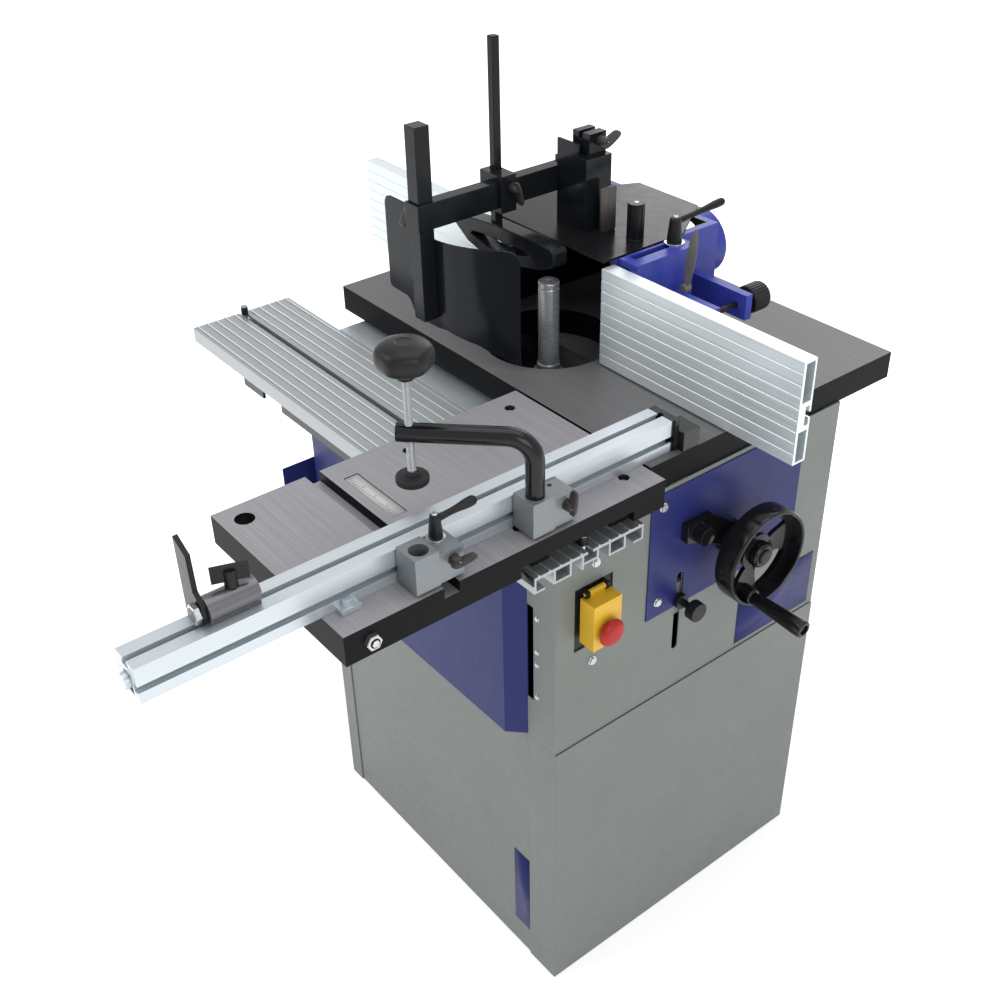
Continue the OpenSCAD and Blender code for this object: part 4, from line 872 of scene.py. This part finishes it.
# On the hood's top are the end of a plated pin and a small upright plate of painted sheet.
# A thin light grey leaf, a flattened ellipsoid leaning a little, stands on a round foot at the
# right bracket.
PIN_CAP = ((0, -3, 0), (3.4, -3, 0), (3.4, 0.7, 0.4), (0, 0.9, 0))
PIN_AT = Vector((5, 116.5, 1049.9)) * MM
PLATE_BROWN = (0.095, 0.080, 0.080, 1)
HOOD_PLATE = (-39.6, 91.4, 1001.5), (-34.4, 116.6, 1062.6)
BLADE_AT = Vector((107, 120, 1000)) * MM
BLADE_LEAN = math.radians(8)
BLADE_HALVES = (8.5, 2.0, 44, 1)
BLADE_FOOT = ((0, -6, 0), (6, -6, 1), (6, 6, 1), (0, 6, 0))
BLADE_FOOT_AT = Vector((101, 120, 958)) * MM
pin_cap = bmesh.new()
turned(pin_cap, PIN_CAP, standing(PIN_AT, (0, 0, 1)), 28)
built("pin_cap", pin_cap, plated, "root", "plated_steel")
plate_paint = shaded("brown_grey_plate", PLATE_BROWN, 0.5, shine=0.3)[0]
hood_plate = bmesh.new()
slab(hood_plate, *HOOD_PLATE)
built("hood_plate", hood_plate, plate_paint, "root", "black_plastic")
blade = bmesh.new()
blade_place = (Matrix.Translation(BLADE_AT) @ Matrix.Rotation(BLADE_LEAN, 4, "Y")
               @ Matrix.Diagonal(BLADE_HALVES))
bmesh.ops.create_uvsphere(blade, u_segments=28, v_segments=20, radius=MM, matrix=blade_place)
turned(blade, BLADE_FOOT, standing(BLADE_FOOT_AT, (0, 1, 0)), 32)
blade_finish = moulded("grey_leaf_finish", (0.16, 0.155, 0.14, 1), 0.45)
built("bracket_blade", blade, blade_finish, "infeed", "black_plastic", sharp=50)

# The fine-adjustment knob is moulded on the end of its screw, with flutes round its grip.
# It stands behind the right bracket, which it moves along the screw.
KNURLS = 30
KNURL_DEPTH = 0.035
GRIP_FROM = 18.5
MICRO_KNOB = ((0, 0, 0), (4, 0, 0), (4, 95, 0), (11, 95, 1), (12, 99, 1), (19.2, 99.5, 1.5),
              (20, 102, 1), (20, 127, 1), (18.8, 130, 1.5), (8, 130, 0), (7.4, 140.3, 1),
              (0, 140.3, 0))


def waved(count, angle):
    """A smooth wave from 0 to 1 that repeats a number of times round a turn."""
    return 0.5 - 0.5 * math.cos(count * angle)


def knurled(angle, point):
    """Shallow flutes round the grip, and none on the shaft and the faces."""
    return 1 - KNURL_DEPTH * waved(KNURLS, angle) if point.x > GRIP_FROM else 1


micro = bmesh.new()
turned(micro, MICRO_KNOB, standing(face_centre("micro_knob", 1, 0), (0, 1, 0)), KNURLS * 8,
       knurled)
built("micro_adjuster", micro, black_plastic, "micro_screw", slot_of["micro_knob"], "micro_knob",
      sharp=40)

# The guard hangs from a column on the hood: square steel bar and tube, and a bent sheet that
# shields the cutter, its free end bowed back. All are stove-enamelled black.
GUARD_BLACK = (0.010, 0.012, 0.015, 1)
SHEET_THICK = 3.0
SHEET_OUTLINE = ((-17, 857), (-17, 1011), (-19.5, 1018.5), (-25, 1022.6), (-33, 1024),
                 (-147, 1024), (-147, 1056), (-222, 1056), (-230, 1053), (-234, 1045),
                 (-234, 927), (-232, 922), (-227, 920), (-192, 919), (-184, 914), (-176, 900),
                 (-170, 895.5), (-163, 894), (-118, 896), (-104, 897), (-61, 885), (-35, 870))
SHEET_FRONT = -128.4
SHEET_STRIP = 9.0
BOW_FROM = -124
POST_LOW = (-141.3, -151.5, 912)
POST_HIGH = (-118.3, -128.5, 1177.4)
sheet_black = powder_coat("guard_enamel", GUARD_BLACK, 0.16, 0.06, 0.16)
eased("guard_column", 0.8 * MM, sheet_black, 3)
eased("guard_bar", 1.0 * MM, sheet_black, 3)


def bowed(x):
    """The sheet's place in depth: flat behind the post, then bent back towards its free end."""
    past = max(0.0, x - BOW_FROM)
    return SHEET_FRONT + 0.047 * past + 0.00476 * past ** 2


def sheet_piece(shape, outline):
    """Adds a plate cut to an outline of (x, z) points and bowed over its width."""
    shape.faces.new([shape.verts.new(Vector((x, 0, z)) * MM) for x, z in outline])
    low = min(x for x, z in outline)
    high = max(x for x, z in outline)
    for count in range(1, int((high - low) / SHEET_STRIP) + 1):
        cut_at = Vector(((low + count * SHEET_STRIP) * MM, 0, 0))
        everything = [*shape.verts, *shape.edges, *shape.faces]
        bmesh.ops.bisect_plane(shape, geom=everything, plane_co=cut_at, plane_no=Vector((1, 0, 0)))
    made = bmesh.ops.extrude_face_region(shape, geom=list(shape.faces))["geom"]
    behind = {item for item in made if isinstance(item, bmesh.types.BMVert)}
    for vertex in shape.verts:
        depth = SHEET_THICK if vertex in behind else 0
        vertex.co.y = (bowed(vertex.co.x / MM) + depth) * MM


shield = bmesh.new()
sheet_piece(shield, SHEET_OUTLINE)
slab(shield, POST_LOW, POST_HIGH)
softened(built("shield_sheet", shield, sheet_black, "shield", slot_of["guard_shield"],
               "guard_shield", sharp=40), 0.8 * MM, 2, 50)

# The pressure shoe is a flat bar bent to a loop, welded to a thin square rod. A block on the
# guard bar clamps the rod. Both have the guard's black enamel.
SHOE_LOOP = ((-225, 999), (-223, 987), (-194.5, 969), (-170, 963), (-135, 961), (-90, 965),
             (-38, 976), (-12, 987), (-9, 992), (-9, 1008), (-14, 1012.5), (-40, 1013.5),
             (-133, 1012), (-180, 1007), (-212, 1004))
SHOE_OPEN = ((-188, 982), (-150, 974), (-110, 976), (-66, 987), (-60, 990), (-72, 993),
             (-120, 992), (-160, 990), (-184, 987))
SHOE_FRONT, SHOE_BACK = -18, 7
ROD_LOW = (-148.8, -11.5, 986)
ROD_HIGH = (-136.8, 0.5, 1260.4)


def looped_shoe(shape, outer, inner, low_y, high_y):
    """Adds the band between two outlines of (x, z) points, with both its faces."""
    sides = []
    for y in (low_y, high_y):
        rows = [[shape.verts.new(Vector((x, y, z)) * MM) for x, z in outline]
                for outline in (outer, inner)]
        edges = [shape.edges.new((row[index], row[(index + 1) % len(row)])) for row in rows
                 for index in range(len(row))]
        bmesh.ops.triangle_fill(shape, use_beauty=True, edges=edges)
        sides.append(rows)
    for near, far in zip(sides[0], sides[1]):
        for index in range(len(near)):
            after = (index + 1) % len(near)
            shape.faces.new((near[index], near[after], far[after], far[index]))


eased("shoe_block", 1.0 * MM, sheet_black, 3)
shoe = bmesh.new()
looped_shoe(shoe, SHOE_LOOP, SHOE_OPEN, SHOE_FRONT, SHOE_BACK)
slab(shoe, ROD_LOW, ROD_HIGH)
softened(built("shoe_loop", shoe, sheet_black, "shoe", slot_of["pressure_shoe"], "pressure_shoe",
               sharp=24), 1.6 * MM, 3, 40)

# Leaf knobs clamp the guard's sliding joints and the blocks on the mitre fence. Each is
# moulded in dark plastic on a plated screw, a tapered hub in one flat rounded leaf.
WING_BLACK = (0.038, 0.036, 0.034, 1)
LEAF_HALF = 2.8
LEAF_SQUARED = 0.62
wing_plastic = moulded("wing_moulding", WING_BLACK, 0.36, 0.25)


def wing_screw(name, node, at, axis, turn, span, height):
    """A leaf knob whose screw points along an axis, turned about it by an angle in degrees."""
    body = nodes[node]["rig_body"]
    shape = bmesh.new()
    place = standing(Vector(at) * MM, axis, math.radians(turn))
    turned(shape, [(0, 0.1, 0), (7, 0.1, 0.8), (6.4, height - 3, 1.5), (4.6, height, 0.8),
                   (0, height, 0)], place, 32)
    leaf = bmesh.ops.create_uvsphere(shape, u_segments=32, v_segments=20, radius=1.0)
    reach = Vector((span, LEAF_HALF, (height + 3) * 0.42)) * MM
    middle = Vector((span * 0.4, 0, height * 0.35 + reach.z / MM)) * MM
    for vertex in leaf["verts"]:
        squared = Vector(math.copysign(abs(part) ** LEAF_SQUARED, part) for part in vertex.co)
        vertex.co = place @ (middle + squared * reach)
    built(name, shape, wing_plastic, body, slot_of[node], node, sharp=50)
    stud = bmesh.new()
    end = height + 1.6
    turned(stud, [(0, -5, 0), (2.9, -5, 0), (2.9, end, 0.6), (0, end, 0)], place, 24)
    built(name + "_stud", stud, plated, body, "plated_steel")


wing_screw("column_wing", "column_knob", (-62.2, 109, 1118.9), (1, 0, 0), 30, 17, 18)
wing_screw("post_wing", "post_knob", (-145.1, -140, 1057.4), (-1, 0, 0), -62, 17, 17)
wing_screw("shoe_wing", "shoe_knob", (-108.5, -5.5, 1069.4), (1, 0, 0), -77, 17, 15)

# The mitre fence is a T-slotted extrusion that turns on a pivot in the sliding table. Its far
# end has a black steel shoe. Two split castings and a flip stop are clamped in its slot.
FENCE_END = -59.2 * MM
SPARE_LEVER_AT = (269.3, -417, 891.3)
CLAMP_WING_Y, SPARE_WING_Y = -257.5, -415
WING_HEIGHT = 878.3
CASTING_CORNER = 3.0 * MM
STOP_NUT = ((0, 0, 0), (10.4, 0, 0), (11.4, 1.2, 0), (11.4, 6, 0), (10.2, 7.2, 0), (0, 7.2, 0))
STOP_NUT_AT = (240.5, -685.6, 907.5)
SLIDE_NUT = ((0, 0, 0), (9.8, 0, 0), (9.8, 5.6, 0), (8.8, 6.6, 0), (4.5, 6.7, 0),
             (4.5, 8.4, 0.5), (0, 8.4, 0))
SLIDE_NUT_AT = (302, -525.5, 829.5)
mitre_stock = parted(anodised("mitre_stock", 1), "Y", FENCE_END, BLACK_PAINT_AND_SHADE, 0.0, beyond=True)
eased("mitre_fence", 0.5 * MM, mitre_stock)
die_cast = bright_metal("die_cast_finish", (0.20, 0.22, 0.235, 1), 0.42, metallic=0.4)
eased("clamp_block", CASTING_CORNER, die_cast, 1)
eased("spare_block", CASTING_CORNER, die_cast, 1)
ratchet_lever("spare_ratchet", "spare_lever", SPARE_LEVER_AT, 85, 8, 30, 46)
dark_steel = bright_metal("dark_steel_finish", (0.13, 0.13, 0.14, 1), 0.34, (1, 14, 1), 120, 0.7)
eased("stop_body", 1.0 * MM, dark_steel, 3)
eased("stop_flag", 0.8 * MM, black_paint)
eased("clamp_arm", 1.2 * MM, gloss_black, 3)
eased("clamp_pad", 1.5 * MM, rubber, 3)
for node, y, turn in (("clamp_wing", CLAMP_WING_Y, 84), ("spare_wing", SPARE_WING_Y, 4)):
    seat_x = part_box(node)[0].x / MM + 8
    wing_screw(node + "_moulding", node, (seat_x, y, WING_HEIGHT), (1, 0, 0), turn, 16, 12)
eased("stop_knob", 2.0 * MM, black_plastic, 3)
for name, profile, at, axis, body in (
        ("stop_nut", STOP_NUT, STOP_NUT_AT, (0, 1, 0), "stop"),
        ("slide_nut", SLIDE_NUT, SLIDE_NUT_AT, (1, 0, 0), "cross_table")):
    hexagon = bmesh.new()
    turned(hexagon, profile, standing(Vector(at) * MM, axis), 6)
    built(name, hexagon, plated, body, "plated_steel")

# The hold-down screw is rolled thread, zinc plated, with a swivel at its foot and a lobed
# knob of matt black plastic pressed on its head.
THREAD_RADIUS = 5.0
THREAD_DEPTH = 0.62
THREAD_PITCH = 1.9
THREAD_SIDES = 20
THREAD_FOOT = 10
THREAD_CLEAR = 3
SCREW_HIDDEN = 40
LOBES = 6
LOBE_DEPTH = 0.055
screw_low, screw_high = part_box("clamp_screw")
knob_height = (screw_high.z - screw_low.z) / MM


def rolled_thread(shape, place, radius, low, high):
    """Adds a helical thread between two heights of its place, in millimetres."""
    turns = int((high - low) / THREAD_PITCH) * THREAD_SIDES
    rows = []
    for reach, lead in ((radius, 0.0), (radius - THREAD_DEPTH, THREAD_PITCH / 2)):
        row = []
        for step in range(turns + 1):
            angle = 2 * math.pi * step / THREAD_SIDES
            height = low + lead + THREAD_PITCH * step / THREAD_SIDES
            row.append(shape.verts.new(place @ polar(reach, angle, height)))
        rows.append(row)
    crest, root = rows
    for step in range(turns):
        shape.faces.new((crest[step], crest[step + 1], root[step + 1], root[step]))
        beyond = step + THREAD_SIDES
        if beyond < turns:
            shape.faces.new((root[step], root[step + 1], crest[beyond + 1], crest[beyond]))


def lobed(angle, point):
    """Finger lobes round the knob, deepest at its rim."""
    rim = max(0.0, (point.x - 20) / 13)
    return 1 - LOBE_DEPTH * rim * waved(LOBES, angle)


upright = standing(face_centre("clamp_screw", 2, 0), (0, 0, 1))
core = THREAD_RADIUS - 1
core_top = knob_height - SCREW_HIDDEN
thread = bmesh.new()
turned(thread, [(0, 0, 0), (THREAD_RADIUS, 0, 0.8), (THREAD_RADIUS, THREAD_FOOT, 0),
                (core, THREAD_FOOT + 0.5, 0), (core, core_top, 0), (0, core_top, 0)],
       upright, THREAD_SIDES)
rolled_thread(thread, upright, THREAD_RADIUS, THREAD_FOOT, core_top - THREAD_CLEAR)
zinc = bright_metal("zinc_plate", (0.36, 0.38, 0.40, 1), 0.40, metallic=0.7)
built("clamp_thread", thread, zinc, "clamp_screw", slot_of["clamp_screw"], "clamp_screw",
      sharp=60)
# The knob's rows give the depth below its top in place of the height.
KNOB = ((0, 44, 0), (9.5, 44, 1), (11, 33, 4), (25, 33, 5), (32, 26, 4), (33, 17, 4), (31, 7, 5),
        (20, 1.6, 7), (9, 0.4, 1), (8, 1.4, 0.4), (0, 1.2, 0))
knob = bmesh.new()
turned(knob, [(radius, knob_height - depth, fillet) for radius, depth, fillet in KNOB],
       upright, 96, lobed)
built("clamp_knob", knob, black_plastic, "clamp_screw", "black_plastic", sharp=50)
